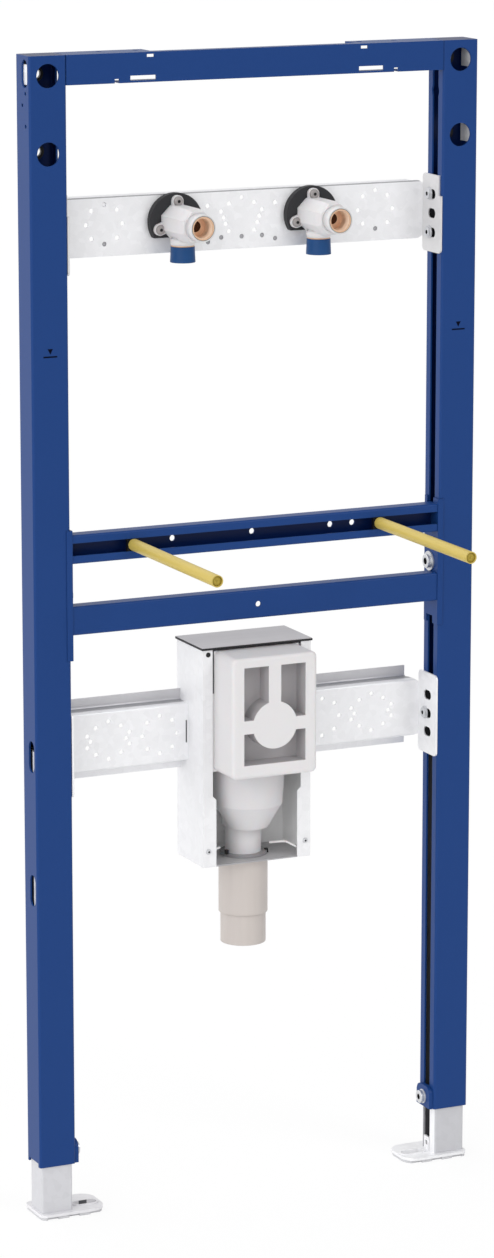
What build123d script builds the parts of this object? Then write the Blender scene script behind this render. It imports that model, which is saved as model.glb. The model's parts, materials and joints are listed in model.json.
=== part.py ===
"""Basin installation frame: two slotted posts on telescopic feet, a top bar, a crossbar unit with two studs
for the basin, a perforated plate with two tap connections, and a concealed trap in a sheet steel box.

Millimetres. The pieces are laid out with X across from the middle of the frame, Y from the posts' front
faces back to the wall and Z up from the floor. On export everything is moved so that the origin lies on
the floor under the axis of the left post.
"""
from build123d import *
import os

# Whole frame
FRAME_WIDTH = 500.0
FRAME_TOP = 1208.0
POST_BOTTOM = 57.0

# Heights of the connections, each measured from the one below it
WASTE_INLET_HEIGHT = 515.0
STUD_RISE = 194.0
TAP_RISE = 323.5

# Posts: slotted C section, the slot faces the middle of the frame
POST_WIDTH = 40.0
POST_DEPTH = 35.0
POST_WALL = 2.0
POST_CORNER = 2.5
POST_SLOT = 13.0
POST_CAP = 2.0
WALL_HOLE_DIA = 24.0
WALL_HOLE_DROPS = (20.0, 97.5)
KEYHOLE_DIA = 16.0
KEYHOLE_DROP = 53.0
SIDE_SLOT_WIDTH = 14.0
SIDE_SLOT_LENGTH = 33.0
SIDE_SLOT_SETBACK = 12.0
SIDE_SLOT_HEIGHTS = (353.5, 495.0)
TOP_SLOT_LENGTH = 28.0
TOP_SLOT_DROP = 18.0
SIDE_HOLE_DIA = 4.0
SIDE_HOLES = ((10.0, 37.5), (18.0, 49.5), (10.0, 70.0))
POST_FOOT_NOTCH_INSET = 5.0
POST_FOOT_NOTCH_HEIGHT = 4.0

# Black flanged bushes in the back wall of the post, for the wall fixing studs
BUSH_DIA = 13.0
BUSH_BORE = 10.0
BUSH_FLANGE_DIA = 16.0
BUSH_FLANGE_THICKNESS = 2.0
BUSH_CLEARANCE = 0.1

# Nut plates beside the bushes, on the inside of the post's outer wall
NUT_PLATE_THICKNESS = 2.5
NUT_PLATE_INSET = 6.0
NUT_PLATE_HEIGHT = 20.0
NUT_PLATE_RISE = 1.0

# Top bar: U section open to the wall, welded between the posts
BAR_HEIGHT = 30.0
BAR_WALL = 2.0
BAR_FLANGE = 12.0
BAR_EAR_LENGTH = 96.0
BAR_SLOT_LENGTH = 28.0
BAR_SLOT_HEIGHT = 5.0
BAR_SLOT_INSET = 83.0
BAR_SLOT_RISE = 4.5
BAR_VENT_LENGTH = 8.0
BAR_VENT_HEIGHT = 3.0
BAR_VENT_INSET = 91.0
BAR_VENT_DROP = 3.6
BAR_NOTCH_WIDTH = 5.0
BAR_NOTCH_HEIGHT = 4.3
BAR_NOTCH_INSET = 54.5
BAR_EAR_HOLE_DIA = 6.0
BAR_EAR_HOLE_INSETS = (45.0, 85.0)
BAR_EAR_HOLE_SETBACK = 24.5

# Crossbars: one C rail, slot to the front above, turned round below
RAIL_HEIGHT = 30.0
RAIL_DEPTH = 18.0
RAIL_WALL = 2.0
RAIL_CORNER = 2.5
RAIL_SLOT = 13.0
RAIL_PITCH = 74.0
RAIL_HOLE_DIA = 6.0
UPPER_RAIL_HOLES = (0.0, 115.5)
LOWER_RAIL_HOLES = (0.0,)
RAIL_KEYHOLE_OFFSET = 90.0
RAIL_KEYHOLE_NECK = 3.5
RAIL_KEYHOLE_LENGTH = 10.0

# End plates that carry the crossbars on the posts
END_PLATE_WALL = 2.0
END_PLATE_DEPTH = 30.0
END_PLATE_ABOVE = 5.0
END_PLATE_BELOW = 26.0
END_PLATE_LIP = 4.5
END_PLATE_LIP_WALL = 1.0
END_PLATE_NOTCH_WIDTH = 14.0
END_PLATE_NOTCH_HEIGHT = 8.0
END_PLATE_HOLE_DIA = 9.0
END_PLATE_HOLE_RISE = 10.0

# Basin studs with their sleeves
STUD_SPACING = 280.0
STUD_DIA = 10.0
STUD_TIP = 185.0
STUD_HEAD_LENGTH = 22.0
STUD_HEAD_WIDTH = 12.0
STUD_HEAD_THICKNESS = 5.0
SLEEVE_DIA = 12.4
SLEEVE_LENGTH = 205.0
SLEEVE_CLEARANCE = 0.2

# Brackets of the plate and the trap rail, on the inner faces of the posts
BRACKET_WALL = 2.0
BRACKET_DEPTH = 41.0
BRACKET_CORNER = 5.0
BRACKET_SLOT_LENGTH = 16.0
BRACKET_SLOT_HEIGHT = 10.0
BRACKET_SLOT_SETBACK = 20.0
BRACKET_SLOT_PITCH = 20.0
TAP_BRACKET_HEIGHT = 81.0
TAP_BRACKET_DROP = 4.5
TAP_BRACKET_NOTCH_DEPTH = 5.0
TAP_BRACKET_NOTCH_HEIGHT = 21.0
TRAP_BRACKET_HEIGHT = 88.0
TRAP_BRACKET_DROP = 21.0

# Perforated plate for the tap connections, fixed to the rear edges of its brackets
PLATE_WALL = 2.0
PLATE_HOLE_DIA = 4.8
RING_RADIUS = 20.0
RING_HOLES = 8
TAP_PLATE_HEIGHT = 60.5
TAP_PLATE_DROP = 32.5
TAP_PLATE_CORNER = 9.0
TAP_PLATE_FLANGE = 15.0
TAP_PLATE_FLANGE_INSET = 15.0
TAP_PLATE_PAIRS = ((23.0, 6.5), (17.8, -6.5), (38.0, 13.0), (23.0, -20.0), (38.0, -24.0))

# Tap connections
TAP_SPACING = 153.0
DISC_DIA = 58.0
DISC_THICKNESS = 8.0
DISC_FLAT = 16.0
ELBOW_ACROSS = 34.0
ELBOW_SHOULDER = 8.0
ELBOW_NOSE = 20.0
ELBOW_TAPER = 8.0
EAR_ANGLES = (90, 200, 340)
EAR_REACH = 21.0
EAR_WIDTH = 12.0
EAR_THICKNESS = 4.0
EAR_HOLE_DIA = 4.5
INLET_AXIS = 18.0
INLET_DIA = 21.0
SOCKET_DIA = 26.5
SOCKET_BORE = 20.9
SOCKET_FACE = 33.0
SOCKET_LENGTH = 26.0
SOCKET_BORE_DEPTH = 20.0
SOCKET_CLEARANCE = 0.1
PLUG_TOP_DIA = 24.5
PLUG_BOTTOM_DIA = 26.0
PLUG_DROP = 39.5
PLUG_LENGTH = 16.0
PLUG_WALL = 1.8

# Trap rail: perforated hat section on both sides of the box; its web runs on to the bracket
HAT_WEB = 61.5
HAT_DEPTH = 20.0
HAT_LIP = 11.5
HAT_BEND = 2.5
HAT_DROP = 18.7
HAT_LIP_SETBACK = 9.0
HAT_CORNER = 8.0
TRAP_RING_OFFSETS = (94.0, 152.0)
TRAP_RING_SIDE_OFFSET = 23.7
TRAP_RING_SIDE_RISE = 6.2

# Trap box
BOX_FRONT = 3.0
BOX_WIDTH = 123.5
BOX_DEPTH = 66.0
BOX_RISE = 78.0
BOX_DROP = 157.0
BOX_WALL = 1.5
BOX_FLANGE = 11.0
BOX_FOOT_FLANGE = 15.0
BOX_FOOT_HEIGHT = 76.0
BOX_NECK_HOLE_CLEARANCE = 1.0
LID_OVERHANG = 1.0
LID_THICKNESS = 2.0

# Protective cover in the front of the box, with a closed pocket behind each window
COVER_WIDTH = 97.0
COVER_RISE = 73.5
COVER_DROP = 55.0
COVER_REACH = 44.0
COVER_WALL = 3.0
COVER_FACE = 5.0
COVER_CORNER = 6.0
COVER_EDGE = 4.0
COVER_RIM = 4.0
COVER_RIM_THICKNESS = 2.5
WINDOW_WIDTH = 70.0
WINDOW_RISE = 63.0
WINDOW_DROP = 40.5
COVER_POST_WIDTH = 14.0
COVER_BAR_HEIGHT = 14.0
COVER_DISC_DIA = 50.0
POCKET_DEPTH = 22.0
POCKET_WALL = 2.0

# Trap and waste pipe
TRAP_AXIS = 26.0
CUP_CLEARANCE = 0.5
TRAP_TOP_DIA = 78.0
TRAP_SHOULDER_DROP = 42.0
TRAP_SHOULDER_DIA = 73.0
TRAP_BOTTOM_DROP = 68.0
TRAP_BOTTOM_DIA = 43.0
RISER_DIA = 46.0
RISER_ABOVE = 30.0
INLET_TUBE_DIA = 44.0
INLET_TUBE_GAP = 1.0
PIPE_AXIS = 38.0
NECK_DIA = 38.5
NECK_REACH = 23.0
NECK_COLLAR_DIA = 50.0
NECK_COLLAR_THICKNESS = 3.0
PIPE_DIA = 48.0
PIPE_BORE = 41.0
PIPE_REACH = 94.0
SPIGOT_DIA = 45.0
SLEEVE_PIPE_DIA = 52.0
SLEEVE_PIPE_REACH = 61.0
PIPE_CLEARANCE = 0.15

# Feet: a column that slides in the post, on a base plate with a pad under it
COLUMN_CLEARANCE = 0.5
COLUMN_WALL = 2.5
COLUMN_CORNER = 2.5
COLUMN_TOP = 500.0
COLUMN_FRONT_LIP = 12.0
COLUMN_REAR_LIP = 3.0
BASE_OUTER_REACH = 20.0
BASE_INNER_REACH = 54.0
BASE_FRONT = -4.0
BASE_BACK = 46.0
BASE_CORNER = 8.0
BASE_WING_CORNER = 16.0
BASE_THICKNESS = 3.0
BASE_TAB_INSET = 1.5
BASE_TAB_HEIGHT = 14.0
BASE_TAB_HOLE_DIA = 5.0
PAD_THICKNESS = 3.0
PAD_INSET = 1.0
PAD_NOTCH_WIDTH = 12.0
PAD_NOTCH_DEPTH = 3.0
PAD_NOTCH_PITCH = 24.0
FLOOR_SLOT_WIDTH = 11.0
FLOOR_SLOT_LENGTH = 26.0
FLOOR_SLOT_REACH = 37.0
FLOOR_SLOT_RIM = 2.0
FLOOR_SLOT_RIM_HEIGHT = 1.0

# Lugs that clamp the feet in the posts
LUG_WIDTH = 30.0
LUG_HEIGHT = 24.0
LUG_THICKNESS = 4.5
LUG_CORNER = 9.0
LUG_HOLE_DIA = 8.5
LUG_HOLE_RISE = 11.0

# Places that follow from the sizes above
POST_AXIS = (FRAME_WIDTH - POST_WIDTH) / 2
POST_INNER_FACE = POST_AXIS - POST_WIDTH / 2
POST_OUTER_FACE = FRAME_WIDTH / 2
POST_MIDDLE = POST_DEPTH / 2
RAIL_END = POST_INNER_FACE - END_PLATE_WALL
BRACKET_FACE = POST_INNER_FACE - BRACKET_WALL
PLATE_FRONT = BRACKET_DEPTH
PLATE_BACK = PLATE_FRONT + PLATE_WALL
STUD_HEIGHT = WASTE_INLET_HEIGHT + STUD_RISE
TAP_HEIGHT = STUD_HEIGHT + TAP_RISE
UPPER_RAIL_BOTTOM = STUD_HEIGHT - RAIL_HEIGHT / 2
LOWER_RAIL_BOTTOM = UPPER_RAIL_BOTTOM - RAIL_PITCH
TAP_PLATE_BOTTOM = TAP_HEIGHT - TAP_PLATE_DROP
TAP_BRACKET_MIDDLE = TAP_HEIGHT - TAP_BRACKET_DROP
TRAP_BRACKET_MIDDLE = WASTE_INLET_HEIGHT - TRAP_BRACKET_DROP
PLUG_BOTTOM = TAP_HEIGHT - PLUG_DROP
HAT_MIDDLE = WASTE_INLET_HEIGHT - HAT_DROP
BOX_SIDE = BOX_WIDTH / 2
BOX_BACK = BOX_FRONT + BOX_DEPTH
BOX_TOP = WASTE_INLET_HEIGHT + BOX_RISE
BOX_BOTTOM = WASTE_INLET_HEIGHT - BOX_DROP
LID_BOTTOM = BOX_TOP - LID_THICKNESS
COVER_FRONT = BOX_FRONT - COVER_REACH
POCKET_BACK = COVER_FRONT + POCKET_DEPTH + POCKET_WALL
COVER_TOP = WASTE_INLET_HEIGHT + COVER_RISE
COVER_BOTTOM = WASTE_INLET_HEIGHT - COVER_DROP
TRAP_TOP = COVER_BOTTOM - CUP_CLEARANCE
TRAP_SHOULDER = COVER_BOTTOM - TRAP_SHOULDER_DROP
TRAP_BOTTOM = COVER_BOTTOM - TRAP_BOTTOM_DROP
PIPE_SLEEVE_END = BOX_BOTTOM - SLEEVE_PIPE_REACH
BASE_TOP = PAD_THICKNESS + BASE_THICKNESS
ORIGIN = Pos(POST_AXIS, -POST_MIDDLE, 0)


def block(x0, x1, y0, y1, z0, z1):
    """Box between two corners."""
    middle = Pos((x0 + x1) / 2, (y0 + y1) / 2, (z0 + z1) / 2)
    return middle * Box(abs(x1 - x0), abs(y1 - y0), abs(z1 - z0))


def rod_x(dia, y, z, x0, x1):
    """Round bar or hole along X."""
    return Pos((x0 + x1) / 2, y, z) * Rot(0, 90, 0) * Cylinder(dia / 2, abs(x1 - x0))


def rod_y(dia, x, z, y0, y1):
    """Round bar or hole along Y."""
    return Pos(x, (y0 + y1) / 2, z) * Rot(90, 0, 0) * Cylinder(dia / 2, abs(y1 - y0))


def rod_z(dia, x, y, z0, z1):
    """Round bar or hole along Z."""
    return Pos(x, y, (z0 + z1) / 2) * Cylinder(dia / 2, abs(z1 - z0))


def along_x(section, x0, x1):
    """Section drawn as (Y, Z), run from x0 to x1."""
    return extrude(Plane.YZ.offset(x0) * section, amount=x1 - x0)


def along_y(section, y0, y1):
    """Section drawn as (X, Z), run from y0 back to y1."""
    return extrude(Plane.XZ.offset(-y1) * section, amount=y1 - y0)


def along_z(section, z0, z1):
    """Section drawn as (X, Y), run from z0 up to z1."""
    return extrude(Plane.XY.offset(z0) * section, amount=z1 - z0)


def span(x0, x1, y0, y1):
    """Rectangle between two corners."""
    return Pos((x0 + x1) / 2, (y0 + y1) / 2) * Rectangle(x1 - x0, y1 - y0)


def c_section(width, depth, wall, corner, front_lip, rear_lip):
    """Hollow section with rounded corners, open in its +X side between two lips."""
    inner_corner = max(corner - wall, 0.5)
    hollow = RectangleRounded(width - 2 * wall, depth - 2 * wall, inner_corner)
    opening = span(width / 2 - 2 * wall, width / 2 + wall, front_lip - depth / 2, depth / 2 - rear_lip)
    return RectangleRounded(width, depth, corner) - hollow - opening


def upright_slot(length, width):
    """Slot with round ends, its length upright."""
    return Rot(0, 0, 90) * SlotOverall(length, width)


def ring_of_spots(x, z):
    """Places of the holes of one ring of the perforation."""
    return Pos(x, z) * PolarLocations(RING_RADIUS, RING_HOLES)


def perforated(plate, spots):
    """Plate with a small round hole at each spot."""
    holes = Sketch() + [spot * Circle(PLATE_HOLE_DIA / 2) for spot in spots]
    return plate - along_y(holes, PLATE_FRONT - PLATE_WALL, PLATE_BACK + PLATE_WALL)


def left_post():
    lip = (POST_DEPTH - POST_SLOT) / 2
    section = c_section(POST_WIDTH, POST_DEPTH, POST_WALL, POST_CORNER, lip, lip)
    post = along_z(Pos(-POST_AXIS, POST_MIDDLE) * section, POST_BOTTOM, FRAME_TOP)
    post += block(
        -POST_OUTER_FACE + POST_WALL / 2,
        -POST_INNER_FACE - POST_WALL / 2,
        POST_WALL / 2,
        POST_DEPTH - POST_WALL / 2,
        FRAME_TOP - POST_CAP,
        FRAME_TOP,
    )
    for drop in WALL_HOLE_DROPS:
        place = (-POST_AXIS, FRAME_TOP - drop)
        post -= rod_y(WALL_HOLE_DIA, *place, -POST_WALL, POST_MIDDLE)
        post -= rod_y(BUSH_DIA, *place, POST_MIDDLE, POST_DEPTH + POST_WALL)
    inner = (-POST_INNER_FACE - 2 * POST_WALL, -POST_INNER_FACE + POST_WALL)
    post -= rod_x(KEYHOLE_DIA, POST_MIDDLE, FRAME_TOP - KEYHOLE_DROP, *inner)
    outer = (-POST_OUTER_FACE - POST_WALL, -POST_OUTER_FACE + 2 * POST_WALL)
    side_slots = [(height, SIDE_SLOT_LENGTH) for height in SIDE_SLOT_HEIGHTS]
    side_slots.append((FRAME_TOP - TOP_SLOT_DROP, TOP_SLOT_LENGTH))
    for height, length in side_slots:
        post -= along_x(Pos(SIDE_SLOT_SETBACK, height) * upright_slot(length, SIDE_SLOT_WIDTH), *outer)
    for setback, drop in SIDE_HOLES:
        post -= rod_x(SIDE_HOLE_DIA, setback, FRAME_TOP - drop, *outer)
    foot_notch = span(
        POST_FOOT_NOTCH_INSET,
        POST_DEPTH - POST_FOOT_NOTCH_INSET,
        POST_BOTTOM - POST_FOOT_NOTCH_HEIGHT,
        POST_BOTTOM + POST_FOOT_NOTCH_HEIGHT,
    )
    return post - along_x(foot_notch, *outer)


def left_wall_bushes():
    """Two flanged bushes, seated in the holes of the post's back wall."""
    bushes = []
    inside = POST_DEPTH - POST_WALL
    for drop in WALL_HOLE_DROPS:
        place = (-POST_AXIS, FRAME_TOP - drop)
        bush = rod_y(BUSH_FLANGE_DIA, *place, inside - BUSH_FLANGE_THICKNESS, inside)
        bush += rod_y(BUSH_DIA - 2 * BUSH_CLEARANCE, *place, inside, POST_DEPTH)
        bushes.append(bush - rod_y(BUSH_BORE, *place, 0, POST_DEPTH + POST_WALL))
    return Compound(children=bushes)


def left_wall_nuts():
    """Two nut plates on the inside of the post's outer wall, one beside each bush."""
    inside = -POST_OUTER_FACE + POST_WALL
    plates = []
    for drop in WALL_HOLE_DROPS:
        middle = FRAME_TOP - drop + NUT_PLATE_RISE
        section = span(
            NUT_PLATE_INSET,
            POST_DEPTH - NUT_PLATE_INSET,
            middle - NUT_PLATE_HEIGHT / 2,
            middle + NUT_PLATE_HEIGHT / 2,
        )
        plates.append(along_x(section, inside, inside + NUT_PLATE_THICKNESS))
    return Compound(children=plates)


def top_bar():
    bottom = FRAME_TOP - BAR_HEIGHT
    end = POST_INNER_FACE
    bar = block(-end, end, 0, BAR_WALL, bottom, FRAME_TOP)
    for z0 in (bottom, FRAME_TOP - BAR_WALL):
        bar += block(-end, end, 0, BAR_FLANGE, z0, z0 + BAR_WALL)
    for side in (-1, 1):
        ear = block(side * (end - BAR_EAR_LENGTH), side * end, 0, POST_DEPTH, FRAME_TOP - BAR_WALL, FRAME_TOP)
        for inset in BAR_EAR_HOLE_INSETS:
            x = side * (end - inset)
            ear -= rod_z(BAR_EAR_HOLE_DIA, x, BAR_EAR_HOLE_SETBACK, bottom, FRAME_TOP + BAR_WALL)
        bar += ear
        slot = Pos(side * (end - BAR_SLOT_INSET), bottom + BAR_SLOT_RISE) * Rectangle(
            BAR_SLOT_LENGTH, BAR_SLOT_HEIGHT
        )
        vent = Pos(side * (end - BAR_VENT_INSET), FRAME_TOP - BAR_VENT_DROP) * Rectangle(
            BAR_VENT_LENGTH, BAR_VENT_HEIGHT
        )
        bar -= along_y(slot, -BAR_WALL, 2 * BAR_WALL) + along_y(vent, -BAR_WALL, 2 * BAR_WALL)
        notch = Pos(side * (end - BAR_NOTCH_INSET), bottom) * Rectangle(BAR_NOTCH_WIDTH, 2 * BAR_NOTCH_HEIGHT)
        bar -= along_y(notch, -BAR_WALL, BAR_FLANGE + BAR_WALL)
    return bar


def rail(bottom, holes, slot_to_front):
    """Crossbar cut from the C rail, with holes in its back."""
    turn = 180 if slot_to_front else 0
    lip = (RAIL_HEIGHT - RAIL_SLOT) / 2
    section = Rot(0, 0, turn) * c_section(RAIL_DEPTH, RAIL_HEIGHT, RAIL_WALL, RAIL_CORNER, lip, lip)
    middle = bottom + RAIL_HEIGHT / 2
    bar = along_x(Pos(RAIL_DEPTH / 2, middle) * section, -RAIL_END, RAIL_END)
    back = RAIL_DEPTH - RAIL_WALL if slot_to_front else 0
    cut = (back - RAIL_WALL, back + 2 * RAIL_WALL)
    for x in holes:
        bar -= rod_y(RAIL_HOLE_DIA, x, middle, *cut)
    return bar


def upper_crossbar():
    """Crossbar with the slot to the front and two keyholes in its back."""
    bar = rail(UPPER_RAIL_BOTTOM, UPPER_RAIL_HOLES, True)
    keyhole = Circle(RAIL_HOLE_DIA / 2)
    neck = Rectangle(RAIL_KEYHOLE_NECK, RAIL_KEYHOLE_LENGTH)
    keyhole += Pos(0, (RAIL_KEYHOLE_LENGTH - RAIL_HOLE_DIA) / 2) * neck
    for side in (-1, 1):
        place = Pos(side * RAIL_KEYHOLE_OFFSET, STUD_HEIGHT)
        bar -= along_y(place * keyhole, RAIL_DEPTH - 2 * RAIL_WALL, RAIL_DEPTH + RAIL_WALL)
    return bar


def left_end_plate():
    """Plate on the inner face of the post, notched over its slot, with a lip over the post's front."""
    bottom = LOWER_RAIL_BOTTOM - END_PLATE_BELOW
    top = UPPER_RAIL_BOTTOM + RAIL_HEIGHT + END_PLATE_ABOVE
    section = span(0, END_PLATE_DEPTH, bottom, top)
    for z in (bottom, top):
        section -= Pos(POST_MIDDLE, z) * Rectangle(END_PLATE_NOTCH_WIDTH, 2 * END_PLATE_NOTCH_HEIGHT)
    hole_height = LOWER_RAIL_BOTTOM + RAIL_HEIGHT + END_PLATE_HOLE_RISE
    section -= Pos(POST_MIDDLE, hole_height) * Circle(END_PLATE_HOLE_DIA / 2)
    plate = along_x(section, -POST_INNER_FACE, -RAIL_END)
    return plate + block(-POST_INNER_FACE - END_PLATE_LIP, -RAIL_END, -END_PLATE_LIP_WALL, 0, bottom, top)


def left_basin_stud():
    """Stud with a hammer head that is held behind the lips of the upper crossbar."""
    x = -STUD_SPACING / 2
    shank = rod_y(STUD_DIA, x, STUD_HEIGHT, -STUD_TIP, RAIL_WALL + STUD_HEAD_THICKNESS)
    head = Pos(x, STUD_HEIGHT) * Rectangle(STUD_HEAD_WIDTH, STUD_HEAD_LENGTH)
    return shank + along_y(head, RAIL_WALL, RAIL_WALL + STUD_HEAD_THICKNESS)


def left_stud_sleeve():
    place = (-STUD_SPACING / 2, STUD_HEIGHT, -SLEEVE_LENGTH, 0)
    return rod_y(SLEEVE_DIA, *place) - rod_y(STUD_DIA + 2 * SLEEVE_CLEARANCE, *place)


def left_bracket(height, middle):
    """Flat bracket on the inner face of the post, with three bolt slots across the post's slot."""
    section = Pos(BRACKET_DEPTH / 2, middle) * RectangleRounded(BRACKET_DEPTH, height, BRACKET_CORNER)
    for step in (-1, 0, 1):
        slot = SlotOverall(BRACKET_SLOT_LENGTH, BRACKET_SLOT_HEIGHT)
        section -= Pos(BRACKET_SLOT_SETBACK, middle + step * BRACKET_SLOT_PITCH) * slot
    return along_x(section, -POST_INNER_FACE, -BRACKET_FACE)


def left_tap_bracket():
    """Bracket of the tap plate, set back at the top of its front edge."""
    bracket = left_bracket(TAP_BRACKET_HEIGHT, TAP_BRACKET_MIDDLE)
    top = TAP_BRACKET_MIDDLE + TAP_BRACKET_HEIGHT / 2
    notch = Pos(0, top) * Rectangle(2 * TAP_BRACKET_NOTCH_DEPTH, 2 * TAP_BRACKET_NOTCH_HEIGHT)
    return bracket - along_x(notch, -POST_INNER_FACE - BRACKET_WALL, -BRACKET_FACE + BRACKET_WALL)


def tap_plate():
    """Perforated plate with a flange along its top, on the rear edges of both brackets."""
    end = POST_INNER_FACE
    top = TAP_PLATE_BOTTOM + TAP_PLATE_HEIGHT
    middle = (TAP_PLATE_BOTTOM + top) / 2
    sheet = Pos(0, middle) * RectangleRounded(2 * end, TAP_PLATE_HEIGHT, TAP_PLATE_CORNER)
    plate = along_y(sheet, PLATE_FRONT, PLATE_BACK)
    flange_end = end - TAP_PLATE_FLANGE_INSET
    plate += block(
        -flange_end, flange_end, PLATE_FRONT, PLATE_FRONT + TAP_PLATE_FLANGE, top - PLATE_WALL, top
    )
    spots = [spot for x in (-1, 0, 1) for spot in ring_of_spots(x * TAP_SPACING, TAP_HEIGHT)]
    for x, rise in TAP_PLATE_PAIRS:
        spots += [Pos(x, TAP_HEIGHT + rise), Pos(-x, TAP_HEIGHT + rise)]
    return perforated(plate, spots)


def left_insulation_disc():
    """Rubber disc behind the elbow, cut flat below."""
    kept = span(-DISC_DIA / 2, DISC_DIA / 2, -DISC_FLAT, DISC_DIA / 2)
    shape = Circle(DISC_DIA / 2) & kept
    return along_y(Pos(-TAP_SPACING / 2, TAP_HEIGHT) * shape, PLATE_FRONT - DISC_THICKNESS, PLATE_FRONT)


def left_tap_elbow():
    """Eight-sided body that narrows in front, with three ears on the disc and an inlet stub below."""
    x = -TAP_SPACING / 2
    back = PLATE_FRONT - DISC_THICKNESS
    eight = Pos(x, TAP_HEIGHT) * RegularPolygon(ELBOW_ACROSS / 2, 8, major_radius=False, rotation=22.5)
    body = along_y(eight, -ELBOW_SHOULDER, back)
    body += extrude(
        Plane.XZ.offset(ELBOW_SHOULDER) * eight, amount=ELBOW_NOSE - ELBOW_SHOULDER, taper=ELBOW_TAPER
    )
    for angle in EAR_ANGLES:
        turn = Pos(x, TAP_HEIGHT) * Rot(0, 0, angle)
        ear = turn * Pos(EAR_REACH / 2, 0) * SlotCenterToCenter(EAR_REACH, EAR_WIDTH)
        ear -= turn * Pos(EAR_REACH, 0) * Circle(EAR_HOLE_DIA / 2)
        body += along_y(ear, back - EAR_THICKNESS, back)
    body += rod_z(INLET_DIA, x, INLET_AXIS, PLUG_BOTTOM + PLUG_WALL, TAP_HEIGHT)
    seat = SOCKET_LENGTH - SOCKET_FACE
    return body - rod_y(SOCKET_DIA + 2 * SOCKET_CLEARANCE, x, TAP_HEIGHT, -ELBOW_NOSE - 1, seat)


def left_tap_socket():
    """Brass socket with a female thread, seated in the elbow."""
    x = -TAP_SPACING / 2
    socket = rod_y(SOCKET_DIA, x, TAP_HEIGHT, -SOCKET_FACE, SOCKET_LENGTH - SOCKET_FACE)
    return socket - rod_y(SOCKET_BORE, x, TAP_HEIGHT, -SOCKET_FACE - 1, SOCKET_BORE_DEPTH - SOCKET_FACE)


def left_tap_plug():
    """Cap over the inlet stub, a little wider below."""
    x = -TAP_SPACING / 2
    cap = Cone(PLUG_BOTTOM_DIA / 2, PLUG_TOP_DIA / 2, PLUG_LENGTH)
    cap = Pos(x, INLET_AXIS, PLUG_BOTTOM + PLUG_LENGTH / 2) * cap
    bore_dia = INLET_DIA + 2 * SOCKET_CLEARANCE
    return cap - rod_z(bore_dia, x, INLET_AXIS, PLUG_BOTTOM + PLUG_WALL, PLUG_BOTTOM + PLUG_LENGTH + 1)


def right_trap_rail():
    """Hat section from the box to the bracket; its lips stop short and its flanges slope to the web."""
    half = HAT_WEB / 2
    back = PLATE_FRONT + HAT_DEPTH
    path = FilletPolyline(
        (back, HAT_MIDDLE - half - HAT_LIP),
        (back, HAT_MIDDLE - half),
        (PLATE_FRONT, HAT_MIDDLE - half),
        (PLATE_FRONT, HAT_MIDDLE + half),
        (back, HAT_MIDDLE + half),
        (back, HAT_MIDDLE + half + HAT_LIP),
        radius=HAT_BEND,
    )
    section = make_face(offset(path, amount=PLATE_WALL, side=Side.RIGHT, closed=True).edges())
    end = POST_INNER_FACE
    lip_end = end - HAT_LIP_SETBACK
    hat = along_x(section, BOX_SIDE, end)
    slope = Polyline(
        (lip_end, back + HAT_DEPTH),
        (lip_end, back - PLATE_WALL),
        (end, PLATE_BACK),
        (end + HAT_LIP_SETBACK, PLATE_BACK),
        (end + HAT_LIP_SETBACK, back + HAT_DEPTH),
        close=True,
    )
    reach = half + 2 * HAT_LIP
    hat -= along_z(make_face(slope), HAT_MIDDLE - reach, HAT_MIDDLE + reach)
    kept = Pos(0, HAT_MIDDLE) * RectangleRounded(2 * end, HAT_WEB, HAT_CORNER)
    corner_cut = span(end - HAT_CORNER, end + HAT_CORNER, HAT_MIDDLE - reach, HAT_MIDDLE + reach) - kept
    hat -= along_y(corner_cut, 0, back + HAT_DEPTH)
    spots = [spot for x in TRAP_RING_OFFSETS for spot in ring_of_spots(x, HAT_MIDDLE)]
    outer_ring = Pos(TRAP_RING_OFFSETS[-1], HAT_MIDDLE)
    for x in (-TRAP_RING_SIDE_OFFSET, TRAP_RING_SIDE_OFFSET):
        spots += [outer_ring * Pos(x, TRAP_RING_SIDE_RISE), outer_ring * Pos(x, -TRAP_RING_SIDE_RISE)]
    return perforated(hat, spots)


def trap_box():
    """Sheet steel box, open above and in front between its flanges, with a hole for the trap's neck."""
    inner = BOX_SIDE - BOX_WALL
    floor = BOX_BOTTOM + BOX_WALL
    box = block(-BOX_SIDE, BOX_SIDE, BOX_FRONT, BOX_BACK, BOX_BOTTOM, LID_BOTTOM)
    box -= block(-inner, inner, BOX_FRONT + BOX_WALL, BOX_BACK - BOX_WALL, floor, BOX_TOP)
    mouth = BOX_SIDE - BOX_FLANGE
    foot_mouth = BOX_SIDE - BOX_FOOT_FLANGE
    step = BOX_BOTTOM + BOX_FOOT_HEIGHT
    half_mouth = Polyline(
        (0, floor),
        (foot_mouth, floor),
        (foot_mouth, step - mouth + foot_mouth),
        (mouth, step),
        (mouth, BOX_TOP),
        (0, BOX_TOP),
        close=True,
    )
    opening = make_face(half_mouth)
    opening += mirror(opening, Plane.YZ)
    box -= along_y(opening, BOX_FRONT - BOX_WALL, BOX_FRONT + 2 * BOX_WALL)
    neck = NECK_DIA + 2 * BOX_NECK_HOLE_CLEARANCE
    return box - rod_z(neck, 0, PIPE_AXIS, BOX_BOTTOM - BOX_WALL, floor + BOX_WALL)


def trap_box_lid():
    side = BOX_SIDE + LID_OVERHANG
    return block(-side, side, BOX_FRONT - LID_OVERHANG, BOX_BACK + LID_OVERHANG, LID_BOTTOM, BOX_TOP)


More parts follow.
